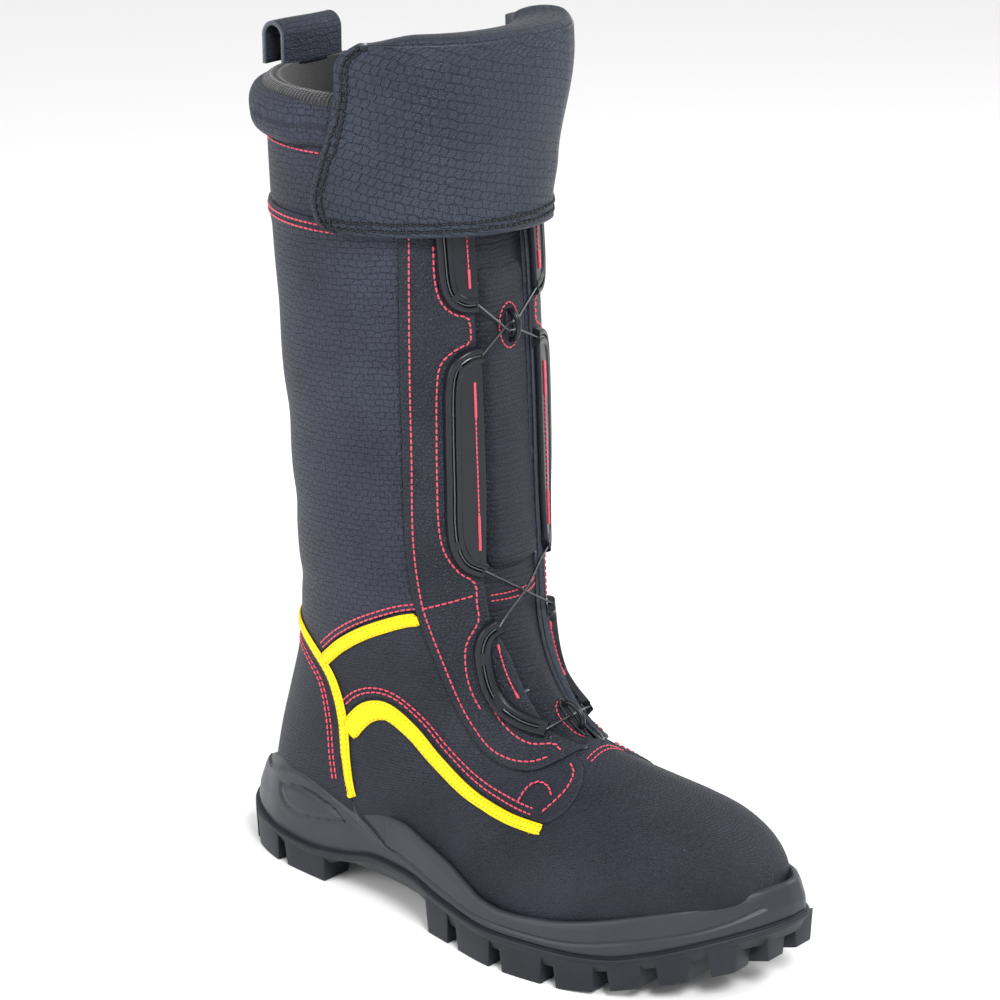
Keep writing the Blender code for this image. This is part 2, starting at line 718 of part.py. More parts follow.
def tongue_region(name, edge):
    """A prism through the front, from its lateral edge as (half width, z), from the bottom up."""
    outline = [(w, z) for w, z in edge] + [(-w, z) for w, z in reversed(edge)]
    return prism(name, outline, -175, 55, "front")


def make_tongue():
    lower = layer("tongue_lower", TONGUE_TOP, TONGUE, "facing_leather")
    keep(lower, tongue_region("tongue_lower_region", ((22, 89), (23, 125), (30, TONGUE_SEAM - GAP / 2))))
    cut(lower, region("tongue_front_end", [(222, -10), (340, -10), (340, 140), (222, 140)]))
    upper = layer("tongue_upper", TONGUE_TOP, TONGUE, "facing_leather")
    keep(upper, tongue_region("tongue_upper_region", ((30, TONGUE_SEAM + GAP / 2), (34, 190), (34, 386))))
    pad = layer("tongue_pad", 0.8, -STIFFENER_TOP - GAP + 0.8, "facing_leather")
    keep(pad, prism("tongue_pad_region", rounded_box(-16.5, 16.5, 172, 312, 6), -175, 55, "front"))


def rounded_box(x0, x1, z0, z1, radius, steps=3):
    outline = []
    for cx, cz, start in ((x1 - radius, z0 + radius, -90), (x1 - radius, z1 - radius, 0),
                          (x0 + radius, z1 - radius, 90), (x0 + radius, z0 + radius, 180)):
        for k in range(steps + 1):
            angle = math.radians(start + 90 * k / steps)
            outline.append((cx + radius * math.cos(angle), cz + radius * math.sin(angle)))
    return outline


def make_collar():
    """The padded roll round the back of the shaft's top. It flattens where the flap covers it."""
    rings = 23
    points = []
    for i in range(rings):
        angle = math.radians(-128 + 256 * i / (rings - 1))
        side = abs(math.degrees(angle))
        bulge = value_at(((0, 7.5), (82, 7.0), (96, 2.6), (130, 2.6)), side)
        inner = LINING_TOP + GAP
        centre, half_depth = (bulge + inner) / 2, (bulge - inner) / 2
        half_height = (COLLAR_TOP - 2 - BAND_TOP - GAP) / 2
        for k in range(12):
            turn = 2 * math.pi * k / 12
            out = centre + half_depth * math.copysign(abs(math.cos(turn)) ** 0.7, math.cos(turn))
            rise = half_height * math.copysign(abs(math.sin(turn)) ** 0.7, math.sin(turn))
            points.append(ring_point(angle, BAND_TOP + GAP + half_height + rise, out))
    new_object("collar_pad", mesh_of("collar_pad", points, rings_to_faces(rings, 12)), "leather")


def make_pull_loop():
    """A strap folded into a loop over the back of the collar, its hole running from side to side."""
    u_back, u_front, bottom, top, thick = 25.0, 39.0, COLLAR_TOP + 0.6, 409.0, 2.0
    radius = (u_front - u_back) / 2
    middle = (u_front + u_back) / 2
    outer = [(u_back, bottom)] + [
        (middle - radius * math.cos(math.pi * k / 8), top - radius + radius * math.sin(math.pi * k / 8))
        for k in range(9)
    ] + [(u_front, bottom)]
    inner_radius = radius - thick
    inner = [(u_front - thick, bottom)] + [
        (middle + inner_radius * math.cos(math.pi * k / 8),
         top - radius + inner_radius * math.sin(math.pi * k / 8))
        for k in range(9)
    ] + [(u_back + thick, bottom)]
    prism("pull_loop", outer + inner, -19, 19, look="leather")


# ---------------------------------------------------------------- the flap


def flap_gap(angle):
    """How far the flap's inner face stands off the form: close at its sides, and clear of the reel."""
    away = abs(math.degrees(angle) - 180)
    return value_at(((20, FLAP_FRONT_GAP), (60, FLAP_SIDE_GAP)), away)


def flap_edge_angle(z):
    """The angle of the flap's lateral rear edge at a height."""
    u_edge = value_at(FLAP_REAR_EDGE, z)
    low, high = math.radians(60), math.radians(150)
    for _ in range(24):
        middle = (low + high) / 2
        if SOLE_LENGTH / 2 - form_point(at_height(middle, z), middle).y < u_edge:
            low = middle
        else:
            high = middle
    return (low + high) / 2


def make_flap():
    heights = [FLAP_BOTTOM, 331, 335, 344, 361, 378, 396, FLAP_TOP]
    across = 18
    points = []
    for z in heights:
        start = flap_edge_angle(z)
        for k in range(across + 1):
            angle = start + (2 * math.pi - 2 * start) * k / across
            points.append(ring_point(angle, z, flap_gap(angle)))
    size = across + 1
    faces = [
        (r * size + k, r * size + k + 1, (r + 1) * size + k + 1, (r + 1) * size + k)
        for r in range(len(heights) - 1)
        for k in range(across)
    ]
    mesh = bpy.data.meshes.new("flap")
    mesh.from_pydata([tuple(p * MM) for p in points], [], faces)
    if mesh.polygons[across * 3 + across // 2].normal.y > 0:
        mesh.flip_normals()
    flap = new_object("flap", mesh, "leather")
    shell = flap.modifiers.new("thickness", "SOLIDIFY")
    shell.thickness = FLAP * MM
    shell.offset = 1.0

    # The leather inside the collar that rises, folds over and holds the flap by its top edge.
    rings = 19
    start = flap_edge_angle(FLAP_TOP)
    corners = []
    for i in range(rings):
        angle = start + (2 * math.pi - 2 * start) * i / (rings - 1)
        gap, inside = flap_gap(angle), LINING_TOP + GAP
        low = COLLAR_TOP + GAP
        profile = (
            (inside, low), (inside, FLAP_TOP + 1.5), (inside + 2.2, FLAP_TOP + 5.2),
            (gap + 0.2, FLAP_TOP + 6), (gap + FLAP - 0.3, FLAP_TOP + 4.6), (gap + FLAP, FLAP_TOP + GAP),
            (gap + 0.4, FLAP_TOP + GAP), (gap - 0.2, FLAP_TOP + 3.2), (inside + 3, FLAP_TOP + 2.6),
            (inside + 2, FLAP_TOP + 0.5), (inside + 2, low),
        )
        corners += [ring_point(angle, z, out) for out, z in profile]
    faces = rings_to_faces(rings, 11)
    new_object("collar_gusset", mesh_of("collar_gusset", corners, faces), "leather")

    # Hook patches inside the flap's wings, and the loop patches they press on.
    for side, name in ((1, "lateral"), (-1, "medial")):
        for kind, out in (("loop_patch", GAP), ("hook_patch", GAP * 2 + 1.2)):
            patch = []
            for z in (342, 350, 358):
                for away in (80, 75, 70, 65):
                    patch.append((math.radians(180 - side * away), z, out))
            make_patch(f"{kind}_{name}", patch, 4, 1.2)


def make_patch(name, places, size, thick):
    bottom = [ring_point(angle, z, out) for angle, z, out in places]
    top = [ring_point(angle, z, out + thick) for angle, z, out in places]
    count, rows = len(places), len(places) // size
    faces = []
    for r in range(rows - 1):
        for k in range(size - 1):
            a = r * size + k
            quad = (a, a + 1, a + size + 1, a + size)
            faces += [quad, tuple(count + q for q in reversed(quad))]
    border = [*range(size), *[size * (r + 1) - 1 for r in range(1, rows)],
              *[count - 1 - k for k in range(1, size)], *[size * r for r in range(rows - 2, 0, -1)]]
    faces += [(a, b, b + count, a + count) for a, b in zip(border, border[1:] + border[:1])]
    new_object(name, mesh_of(name, bottom + top, faces), "hook_and_loop")


# ---------------------------------------------------------------- lacing


def route_on_front(route, out, steps=1):
    found = [front_point(v, z, out) for v, z in smooth_line(route, steps)]
    return [p for p, _ in found], [n for _, n in found]


def guide_profile():
    """A bar with rounded shoulders and an open channel for the lace along its middle."""
    w, h, slot = GUIDE_WIDTH / 2, 2.9, LACE_RADIUS + GAP
    return ((-w, 0), (-w, 1.6), (-w + 1.2, h), (-slot, h), (-slot, 0.9), (slot, 0.9), (slot, h),
            (w - 1.2, h), (w, 1.6), (w, 0))


def make_guides():
    for where, route in GUIDE_ROUTES.items():
        rise = GUIDE_HEIGHT if where != "lower" else GUIDE_HEIGHT + 0.6
        for side, name in ((1, "lateral"), (-1, "medial")):
            points, normals = route_on_front([(side * v, z) for v, z in route], rise)
            sweep(f"guide_{where}_{name}", points, normals, guide_profile(), "plastic")
    for where, z in TONGUE_GUIDES.items():
        base = 1.3 if where == "upper" else STIFFENER_TOP + GAP + 0.4
        centre, normal = front_point(0, z, base)
        up = Vector((1, 0, 0)).cross(normal).normalized()
        arch = []
        for k in range(11):
            turn = math.pi * k / 10
            arch.append(centre + up * 6.5 * math.cos(turn) + normal * (1.2 + 4.6 * math.sin(turn) ** 0.8))
        tube(f"tongue_guide_{where}", arch, 1.2, "plastic")


def lace_centres():
    """Where the lace's middle runs, from the reel's lateral side round to its medial side."""
    in_guide = GUIDE_HEIGHT + 0.9 + GAP + LACE_RADIUS
    in_lower = in_guide + 0.6

    def through(where, side, upward):
        route = GUIDE_ROUTES[where][::-1] if (where == "upper") != upward else GUIDE_ROUTES[where]
        rise = in_lower if where == "lower" else in_guide
        points, _ = route_on_front([(side * v, z) for v, z in route], rise)
        return points

    def eye(where, side, high):
        z = TONGUE_GUIDES[where] + high
        base = 1.3 if where == "upper" else STIFFENER_TOP + GAP + 0.4
        return [front_point(side * v, z, base + 2.6)[0] for v in (2.5, 0, -2.5)]

    def free(start, end, out, lift=0.0):
        """A stretch between two guides, over the tongue."""
        points = []
        for k in range(1, 4):
            middle = start.lerp(end, k / 4)
            surface, normal = front_point(-middle.x, middle.z, out)
            points.append(surface if (middle - surface).dot(normal) < 0 else middle + normal * lift)
        return points

    centre, normal = reel_frame()
    entry = [centre + normal * LACE_ENTRY + Vector((side * 16.5, 0, 0)) for side in (-1, 1)]
    inner_end = [centre + normal * LACE_ENTRY + Vector((side * 11.9, 0, 0)) for side in (-1, 1)]
    lane = {
        "a": through("upper", 1, False), "b": through("middle", -1, False), "c": through("lower", 1, False),
        "d": through("lower", -1, True), "e": through("middle", 1, True), "f": through("upper", -1, True),
    }
    route = [inner_end[0], entry[0], *lane["a"]]
    route += [*eye("upper", 1, -2.0), *lane["b"]]
    route += [*free(lane["b"][-1], lane["c"][0], 1.6, 0.6), *lane["c"]]
    route += [*eye("lower", 1, 0.0), *lane["d"]]
    route += [*free(lane["d"][-1], lane["e"][0], -0.6), *lane["e"]]
    route += [*eye("upper", 1, 2.0), *lane["f"], entry[1], inner_end[1]]
    return route


def reel_frame():
    """The middle of the reel on the form's front, and the direction of its axis."""
    centre, normal = front_point(0, REEL_HEIGHT)
    return centre, Vector((0, normal.y, normal.z)).normalized()


def turned(name, profile, look, segments=24):
    """A turned piece on the reel's axis. The profile runs down its outer side, as (radius, height)."""
    mesh = bpy.data.meshes.new(name)
    edges = [(i, i + 1) for i in range(len(profile) - 1)]
    mesh.from_pydata([(r * MM, 0, h * MM) for r, h in profile], edges, [])
    made = new_object(name, mesh, look)
    spin = made.modifiers.new("turn", "SCREW")
    spin.steps = spin.render_steps = segments
    spin.use_merge_vertices = True
    spin.merge_threshold = 0.00001
    spin.use_smooth_shade = True
    centre, normal = reel_frame()
    made.location = centre * MM
    made.rotation_euler = normal.to_track_quat("Z", "Y").to_euler()
    return made


def ring_profile(inner, outer, low, high):
    return ((inner, high), (outer, high), (outer, low), (inner, low), (inner, high))


def make_reel(tongue_solid):
    centre, normal = reel_frame()
    plate = turned(
        "reel_housing",
        ((0, REEL_PLATE_TOP), (12.6, REEL_PLATE_TOP), (12.6, 4.4), (14.0, 4.4), (14.0, REEL_PLATE_TOP),
         (17.0, REEL_PLATE_TOP - 0.6), (17.0, -6), (0, -6)),
        "plastic",
    )
    cut(plate, tongue_solid)
    slot = prism("lace_slots", rounded_box(-20, 20, -1.2, 1.2, 0.6), -1.0, 1.0, "front")
    slot.location = (centre + normal * LACE_ENTRY) * MM
    cut(plate, slot)
    turned("reel_spool", ring_profile(2.4, 11.0, REEL_PLATE_TOP + GAP, 4.6), "plastic")
    turned("reel_ratchet", ring_profile(2.4, 12.2, 4.9, 5.8), "steel")
    axle_foot = REEL_PLATE_TOP + GAP
    turned("reel_axle", ((0, 5.8), (2.0, 5.8), (2.0, axle_foot), (0, axle_foot)), "steel", 20)
    make_knob()


def make_knob():
    """The dial: a cap with a fluted grip, open underneath over the housing's wall."""
    grooves, per_groove = 18, 2
    count = grooves * per_groove
    bottom, inner, roof = 3.3, 14.4, 6.2
    levels = (
        (bottom, 0.0, 1.0), (KNOB_TOP - 1.4, 0.0, 1.0), (KNOB_TOP - 0.3, 1.3, 0.4), (KNOB_TOP, 2.6, 0.0),
    )
    points, faces = [], []
    for height, inset, depth in levels:
        for k in range(count):
            turn = 2 * math.pi * k / count
            flute = 0.45 * depth * (math.cos(grooves * turn) - 1)
            radius = KNOB_RADIUS - inset + flute
            points.append((radius * math.cos(turn), radius * math.sin(turn), height))
    for height in (roof, bottom):
        for k in range(count):
            turn = 2 * math.pi * k / count
            points.append((inner * math.cos(turn), inner * math.sin(turn), height))
    for i in range(3):
        a, b = i * count, (i + 1) * count
        faces += [(a + k, a + (k + 1) % count, b + (k + 1) % count, b + k) for k in range(count)]
    faces.append(tuple(3 * count + k for k in range(count)))
    faces.append(tuple(4 * count + k for k in range(count))[::-1])
    a, b = 4 * count, 5 * count
    faces += [(a + k, a + (k + 1) % count, b + (k + 1) % count, b + k) for k in range(count)]
    faces += [(b + k, b + (k + 1) % count, (k + 1) % count, k) for k in range(count)]
    knob = new_object("reel_knob", mesh_of("reel_knob", points, faces), "plastic")
    centre, normal = reel_frame()
    knob.location = centre * MM
    knob.rotation_euler = normal.to_track_quat("Z", "Y").to_euler()


# ---------------------------------------------------------------- the boot

upper_solid = solid_form("upper_solid", GAP)
inside_stiffener = solid_form("inside_stiffener", LINING_TOP)
inside_lining = solid_form("inside_lining", LINING_TOP - LINING - 2 * GAP, LINING_STEP, LINING_AROUND)
tongue_solid = solid_form("tongue_solid", STIFFENER_TOP + GAP)
board_top = [(u, value_at(FLOOR, u) + 4.4) for u in range(-12, 331, 18)] + [(330, -20), (-12, -20)]
below_board = prism("below_board", board_top, -95, 95)
rim_line = [(u, value_at(RIM, u) + GAP) for u in range(-12, 331, 9)] + [(330, -20), (-12, -20)]
below_rim = prism("below_rim", rim_line, -95, 95)

make_outsole()
make_midsole(upper_solid)
make_inner_sole(inside_stiffener, inside_lining)
make_upper(below_rim)
make_inner_layers(below_board)
make_tongue()
make_collar()
make_pull_loop()
make_flap()
make_guides()
make_reel(tongue_solid)
tube("lace", lace_centres(), LACE_RADIUS, "wire", 1)
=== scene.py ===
"""The looks of a lace-up fire boot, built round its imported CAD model.

Lengths are in millimetres until a mesh is made. The boot's shape is described as in the CAD:
u runs from the back of the heel to the toe, v from the middle to the outer side, z is the height.
"""

import math

import bmesh
import bpy
import numpy as np
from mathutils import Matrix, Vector
from mathutils.bvhtree import BVHTree


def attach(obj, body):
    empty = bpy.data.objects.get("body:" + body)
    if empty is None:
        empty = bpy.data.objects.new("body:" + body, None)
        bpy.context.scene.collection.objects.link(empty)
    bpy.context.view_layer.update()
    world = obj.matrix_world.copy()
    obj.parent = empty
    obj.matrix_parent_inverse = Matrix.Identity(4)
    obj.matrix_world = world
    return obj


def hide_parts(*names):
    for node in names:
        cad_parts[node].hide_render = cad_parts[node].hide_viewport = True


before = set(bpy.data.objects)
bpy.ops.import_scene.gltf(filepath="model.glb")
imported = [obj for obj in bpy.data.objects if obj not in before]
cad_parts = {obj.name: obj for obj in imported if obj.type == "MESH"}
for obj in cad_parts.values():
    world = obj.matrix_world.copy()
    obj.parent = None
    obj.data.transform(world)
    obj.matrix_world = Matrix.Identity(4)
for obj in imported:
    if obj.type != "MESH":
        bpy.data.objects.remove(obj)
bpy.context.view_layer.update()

MM = 0.001
SOLE_LENGTH = 318.0
GROUND_BODY, FLAP_BODY = "boot", "flap"

# ---------------------------------------------------------------- the boot's shape, as in the CAD

SECTIONS = np.array((
    (29, 426, 147, 432, 59.5, 59.5, 0.50, 2.0, 2.0),
    (31, 388, 149, 392, 58.5, 58.5, 0.50, 2.0, 2.0),
    (32, 350, 151, 354, 58.5, 58.5, 0.50, 2.0, 2.0),
    (34, 300, 155, 306, 57.5, 57.5, 0.50, 2.0, 2.0),
    (37, 250, 158, 262, 56.5, 56.5, 0.50, 2.0, 2.0),
    (40, 205, 160, 224, 54.5, 54.5, 0.50, 2.0, 2.0),
    (42, 165, 162, 193, 52, 51, 0.49, 2.0, 2.0),
    (42, 135, 165, 168, 49, 48, 0.47, 2.0, 2.0),
    (38, 110, 170, 147, 46, 44, 0.44, 2.0, 1.95),
    (30, 85, 177, 130, 44, 42, 0.40, 2.0, 1.9),
    (23, 60, 186, 117, 42, 40, 0.36, 2.1, 1.9),
    (21, 36, 196, 107, 42, 40, 0.33, 2.3, 1.9),
    (34, 20, 207, 99, 43, 40, 0.30, 3.0, 1.9),
    (76, 18, 219, 94, 44, 40, 0.30, 3.6, 1.95),
    (122, 18, 232, 91, 48, 42, 0.30, 3.8, 2.05),
    (168, 16, 247, 87, 54, 47, 0.32, 4.0, 2.15),
    (208, 16, 261, 83, 55, 49, 0.34, 4.0, 2.3),
    (241, 20, 275, 78, 48, 48, 0.36, 3.8, 2.4),
    (267, 25, 288, 71, 38, 44, 0.38, 3.4, 2.4),
    (285, 31, 298, 63, 27, 37, 0.42, 3.0, 2.3),
    (298, 37, 305, 55, 15, 27, 0.46, 2.6, 2.2),
    (306, 42, 309, 50, 4, 13, 0.50, 2.0, 2.0),
))
TOE_END = 21
OUTLINE_LATERAL = (
    (0, 2), (4, 14), (12, 25), (25, 34), (45, 41), (80, 44), (120, 46), (160, 54),
    (200, 61), (230, 58), (260, 49), (285, 35), (302, 19), (313, 4), (318, -9),
)
OUTLINE_MEDIAL = (
    (0, 14), (4, 18), (12, 27), (25, 35), (45, 40), (80, 40), (120, 38), (160, 41),
    (200, 50), (230, 53), (260, 52), (285, 45), (302, 36), (313, 26), (318, 19),
)
GROUND = ((0, 2), (10, 0), (230, 0), (250, 2), (271, 7), (290, 12), (305, 16), (318, 21))
TREAD = ((0, 10), (75, 10), (95, 16), (140, 16), (165, 10), (235, 10), (271, 16), (318, 29))
RIB = ((0, 22), (40, 18), (66, 17), (90, 20), (115, 25), (137, 25), (165, 21), (200, 19), (240, 19),
       (257, 20), (274, 24), (293, 30), (318, 38))
FLOOR = ((0, 30), (60, 30), (100, 31), (140, 30), (170, 27), (200, 24.5), (235, 26.5), (270, 33),
         (300, 41), (318, 46))
RIM = ((0, 38), (18, 46), (42, 54), (60, 57), (80, 54), (98, 49), (114, 48), (129, 48), (146, 45),
       (164, 41), (178, 36), (190, 32), (205, 30.5), (229, 32.5), (248, 36), (269, 41.5), (293, 47.5),
       (310, 52), (318, 53.5))
HEEL_SEAM = ((20, 127), (42, 126.5), (62, 124), (76, 117.5), (84.5, 110), (88.3, 100), (89.7, 88), (90.1, 77),
             (90.9, 67), (93.5, 55), (99, 44), (108, 32), (118, 20))
ANKLE_SEAM = ((78, 117.6), (84, 123.4), (94, 131.8), (106.6, 140.1), (119.2, 146.6), (130.1, 151.2),
              (139.3, 153.6), (157, 161), (180, 164))
SIDE_SEAM = ((89.9, 85.5), (95, 92.5), (103, 100), (112, 103.8), (121, 102.8), (133.7, 93.8), (144, 84.6),
             (155.6, 77), (166, 72.7), (178.3, 70.2), (196, 69.3), (215, 70.4))
TAB_EDGE = ((215, 70.4), (220, 74), (223.5, 79), (222.5, 85), (217, 90), (209.5, 93))
FACING_EDGE = ((131, 372), (132, 327), (134, 236), (134, 190), (136, 160), (139, 145), (144, 128),
               (150, 112), (157, 100), (168, 89), (180, 84.5), (192, 84.5), (201, 88), (212, 96))
OPENING = ((18.5, 440), (18.5, 210), (20, 172), (19, 150), (14, 132), (13, 112), (13, 101), (9, 96))
BAND_BOTTOM, BAND_TOP, COLLAR_TOP, TONGUE_SEAM = 334.0, 366.0, 388.0, 156.0
HEEL_PIPING, ANKLE_PIPING = 4.8, 6.4
FLAP_BOTTOM, FLAP_TOP, FLAP_SIDE_GAP, FLAP_FRONT_GAP, FLAP = 329.0, 414.0, 3.6, 13.4, 2.6
FLAP_REAR_EDGE = ((329, 112), (331, 104), (335, 99.5), (344, 97.5), (361, 101.5), (378, 106), (395, 108.3),
                  (424, 109))
GUIDE_ROUTES = {
    "upper": ((18.5, 297), (23.5, 297.5), (27.5, 301), (29.5, 308), (30, 322), (30, 336), (28, 345),
              (24.5, 350)),
    "middle": ((17.5, 274), (23, 273), (27.5, 269), (29.5, 260), (30, 240), (30, 215), (30, 197),
               (29, 186), (26, 178), (20, 173.5)),
    "lower": ((16.5, 147), (20.5, 143.5), (22.5, 137), (22.5, 128), (22, 119), (20.5, 110), (17.5, 104),
              (13.5, 101)),
}
# Each guide's open slots, as shares of its length.
GUIDE_SLOTS = {
    "upper": ((0.03, 0.24), (0.32, 0.66)),
    "middle": ((0.03, 0.18), (0.24, 0.74), (0.80, 0.97)),
    "lower": ((0.06, 0.30), (0.40, 0.64), (0.74, 0.94)),
}
GUIDE_HEIGHT, LOWER_GUIDE_LIFT, LACE_RADIUS, LACE_ENTRY = 3.1, 0.6, 0.6, 2.2
TONGUE_GUIDES = {"upper": 284.0, "lower": 106.0}
TONGUE_GUIDE_BASE = {"upper": 1.3, "lower": -1.8}
REEL_HEIGHT = 351.0
SIDES = {1: "lateral", -1: "medial"}


def unit(vectors):
    return vectors / np.linalg.norm(vectors, axis=-1, keepdims=True)


def run_length(points, axis=0):
    """How far along its line each point lies, for a line or for the lines of a grid."""
    first = np.take(points, [0], axis)
    return np.cumsum(np.linalg.norm(np.diff(points, axis=axis, prepend=first), axis=-1), axis=axis)


def value_at(points, where):
    """A smooth curve through (place, value) points, without overshoot, for one place or an array."""
    xs, ys = np.array(points, float).T
    slopes = np.diff(ys) / np.diff(xs)
    tangents = np.concatenate([slopes[:1], np.zeros(len(xs) - 2), slopes[-1:]])
    for i in range(1, len(xs) - 1):
        before, after = slopes[i - 1], slopes[i]
        if before * after > 0:
            tangents[i] = 2 * before * after / (before + after)
    x = np.clip(np.asarray(where, float), xs[0], xs[-1])
    k = np.clip(np.searchsorted(xs, x) - 1, 0, len(xs) - 2)
    step = xs[k + 1] - xs[k]
    s = (x - xs[k]) / step
    return (
        ys[k] * (1 + 2 * s) * (1 - s) ** 2 + tangents[k] * step * s * (1 - s) ** 2
        + ys[k + 1] * s * s * (3 - 2 * s) + tangents[k + 1] * step * s * s * (s - 1)
    )


def catmull(a, b, c, d, s):
    square, cube = (2 * a - 5 * b + 4 * c - d) * s * s, (3 * b - a - 3 * c + d) * s ** 3
    return 0.5 * (2 * b + (c - a) * s + square + cube)


def smooth_line(points, steps):
    """A smooth line through the points, with this many steps between two of them."""
    p = np.array([points[0], *points, points[-1]], float)
    line = [catmull(*p[i:i + 4], k / steps) for i in range(len(points) - 1) for k in range(steps)]
    return np.array([*line, p[-1]])


def moved(line, distance):
    """A line of (a, b) points moved to its left by a distance."""
    along = unit(np.gradient(np.asarray(line, float), axis=0))
    return line + distance * np.stack([-along[:, 1], along[:, 0]], axis=1)


def smooth_step(low, high, x):
    s = np.clip((x - low) / (high - low), 0, 1)
    return s * s * (3 - 2 * s)


def place(u, v, z):
    return np.stack(np.broadcast_arrays(-np.asarray(v, float), SOLE_LENGTH / 2 - u, z), axis=-1)


def form_points(t, angle):
    """Points of the upper, from arrays. Angle 0 is the back or bottom, 90 degrees lateral, 180 the front."""
    t = np.clip(t, 0, len(SECTIONS) - 1)
    k = np.minimum(t.astype(int), len(SECTIONS) - 2)
    rows = [SECTIONS[np.clip(k + i, 0, len(SECTIONS) - 1)] for i in (-1, 0, 1, 2)]
    row = catmull(*rows, (t - k)[..., None])
    back_u, back_z, front_u, front_z, lateral, medial, widest, low, high = np.moveaxis(row, -1, 0)
    across, along = np.sin(angle), np.cos(angle)
    power = 2 / np.where(along > 0, low, high)
    reach = np.abs(along) ** power
    share = np.where(along > 0, widest * (1 - reach), widest + (1 - widest) * reach)
    v = np.sign(across) * np.abs(across) ** power * (lateral + medial) / 2 + (lateral - medial) / 2
    return place(back_u + (front_u - back_u) * share, v, back_z + (front_z - back_z) * share)


def form_normals(t, angle):
    down = form_points(t + 0.05, angle) - form_points(t - 0.05, angle)
    round_it = form_points(t, angle + 0.04) - form_points(t, angle - 0.04)
    return unit(np.cross(down, round_it))


def at_height(angle, z):
    """The t at which the form has height z at this angle."""
    low, high = np.zeros_like(angle), np.full_like(angle, len(SECTIONS) - 1.0)
    for _ in range(30):
        middle = (low + high) / 2
        above = form_points(middle, angle)[..., 2] > z
        low, high = np.where(above, middle, low), np.where(above, high, middle)
    return (low + high) / 2


def ring_points(angle, z, out):
    """Points at angles, heights and distances out from the form, and the normals there."""
    angle, z, out = np.broadcast_arrays(*(np.asarray(x, float) for x in (angle, z, out)))
    t = at_height(angle, z)
    normal = form_normals(t, angle)
    return form_points(t, angle) + normal * out[..., None], normal


# ---------------------------------------------------------------- meshes

GRID_AROUND = 176
GRID_STEP = 2.2


def grid_rows():
    """The t of each row of the fine surface, about GRID_STEP apart along its side and its front."""
    rows = []
    for k in range(TOE_END):
        ends = [form_points(np.array([k, k + 1.0]), np.full(2, a)) for a in (math.pi / 2, math.pi)]
        length = max(np.linalg.norm(np.diff(e, axis=0)) for e in ends)
        rows += [k + i / math.ceil(length / GRID_STEP) for i in range(math.ceil(length / GRID_STEP))]
    return np.array([*rows, TOE_END])


def base_surface():
    """The form as one fine grid: columns are x, y, z, normal, leather coordinates in mm, u, v."""
    rows = grid_rows()
    angles = np.linspace(0, 2 * math.pi, GRID_AROUND + 1)
    t, a = np.meshgrid(rows, angles, indexing="ij")
    points, normals = form_points(t, a), form_normals(t, a)
    around, along = run_length(points, 1), run_length(points)
    around -= around[:, GRID_AROUND // 2][:, None]
    data = np.concatenate([points, normals, around[..., None], along[..., None]], axis=2)
    size = GRID_AROUND + 1
    index = np.arange(len(rows) * size).reshape(len(rows), size)
    a, b, c, d = index[:-1, :-1], index[1:, :-1], index[1:, 1:], index[:-1, 1:]
    triangles = np.concatenate([np.stack(corners, -1).reshape(-1, 3) for corners in ((a, b, c), (a, c, d))])
    return data.reshape(-1, 8), triangles


BASE, BASE_TRIANGLES = base_surface()
BASE_U, BASE_V, BASE_Z = SOLE_LENGTH / 2 - BASE[:, 1], -BASE[:, 0], BASE[:, 2]
BVH = BVHTree.FromPolygons(BASE[:, :3].tolist(), BASE_TRIANGLES.tolist())


def hit(origin, direction, out):
    """Where a ray meets the form, moved out, and the smooth normal there."""
    where, _, face, _ = BVH.ray_cast(Vector(origin), Vector(direction))
    if where is None:
        return None
    corners = BASE_TRIANGLES[face]
    near = np.linalg.norm(BASE[corners, :3] - np.array(where), axis=1)
    weight = 1 / (near + 0.2)
    normal = unit((BASE[corners, 3:6] * weight[:, None]).sum(0))
    return np.array(where) + normal * out, normal


def on_side(line, side, out):
    """A line of (u, z) points laid on the form as seen from its side."""
    found = [hit((-side * 250, SOLE_LENGTH / 2 - u, z), (side, 0, 0), out) for u, z in line]
    return [f for f in found if f]


def on_front(line, side, out):
    """A line of (v, z) points laid on the form as seen from the front."""
    found = [hit((-side * v, -300, z), (0, 1, 0), out) for v, z in line]
    return [f for f in found if f]


def on_ring(start, end, z, out, count=120):
    """A level line round the form, between two angles in degrees."""
    points, normals = ring_points(np.radians(np.linspace(start, end, count)), z, out)
    return list(zip(points, normals))


def inside(outline, x, y):
    """How far points lie inside a closed outline; below zero outside it."""
    nearest, within = np.full(x.shape, 1e9), np.zeros(x.shape, bool)
    corners = np.array(outline, float)
    for (ax, ay), (bx, by) in zip(corners, np.roll(corners, -1, axis=0)):
        dx, dy = bx - ax, by - ay
        if dx == 0 and dy == 0:
            continue
        s = np.clip(((x - ax) * dx + (y - ay) * dy) / (dx * dx + dy * dy), 0, 1)
        nearest = np.minimum(nearest, np.hypot(x - ax - s * dx, y - ay - s * dy))
        if dy:
            within ^= ((ay > y) != (by > y)) & (x < dx * (y - ay) / dy + ax)
    return np.where(within, nearest, -nearest)


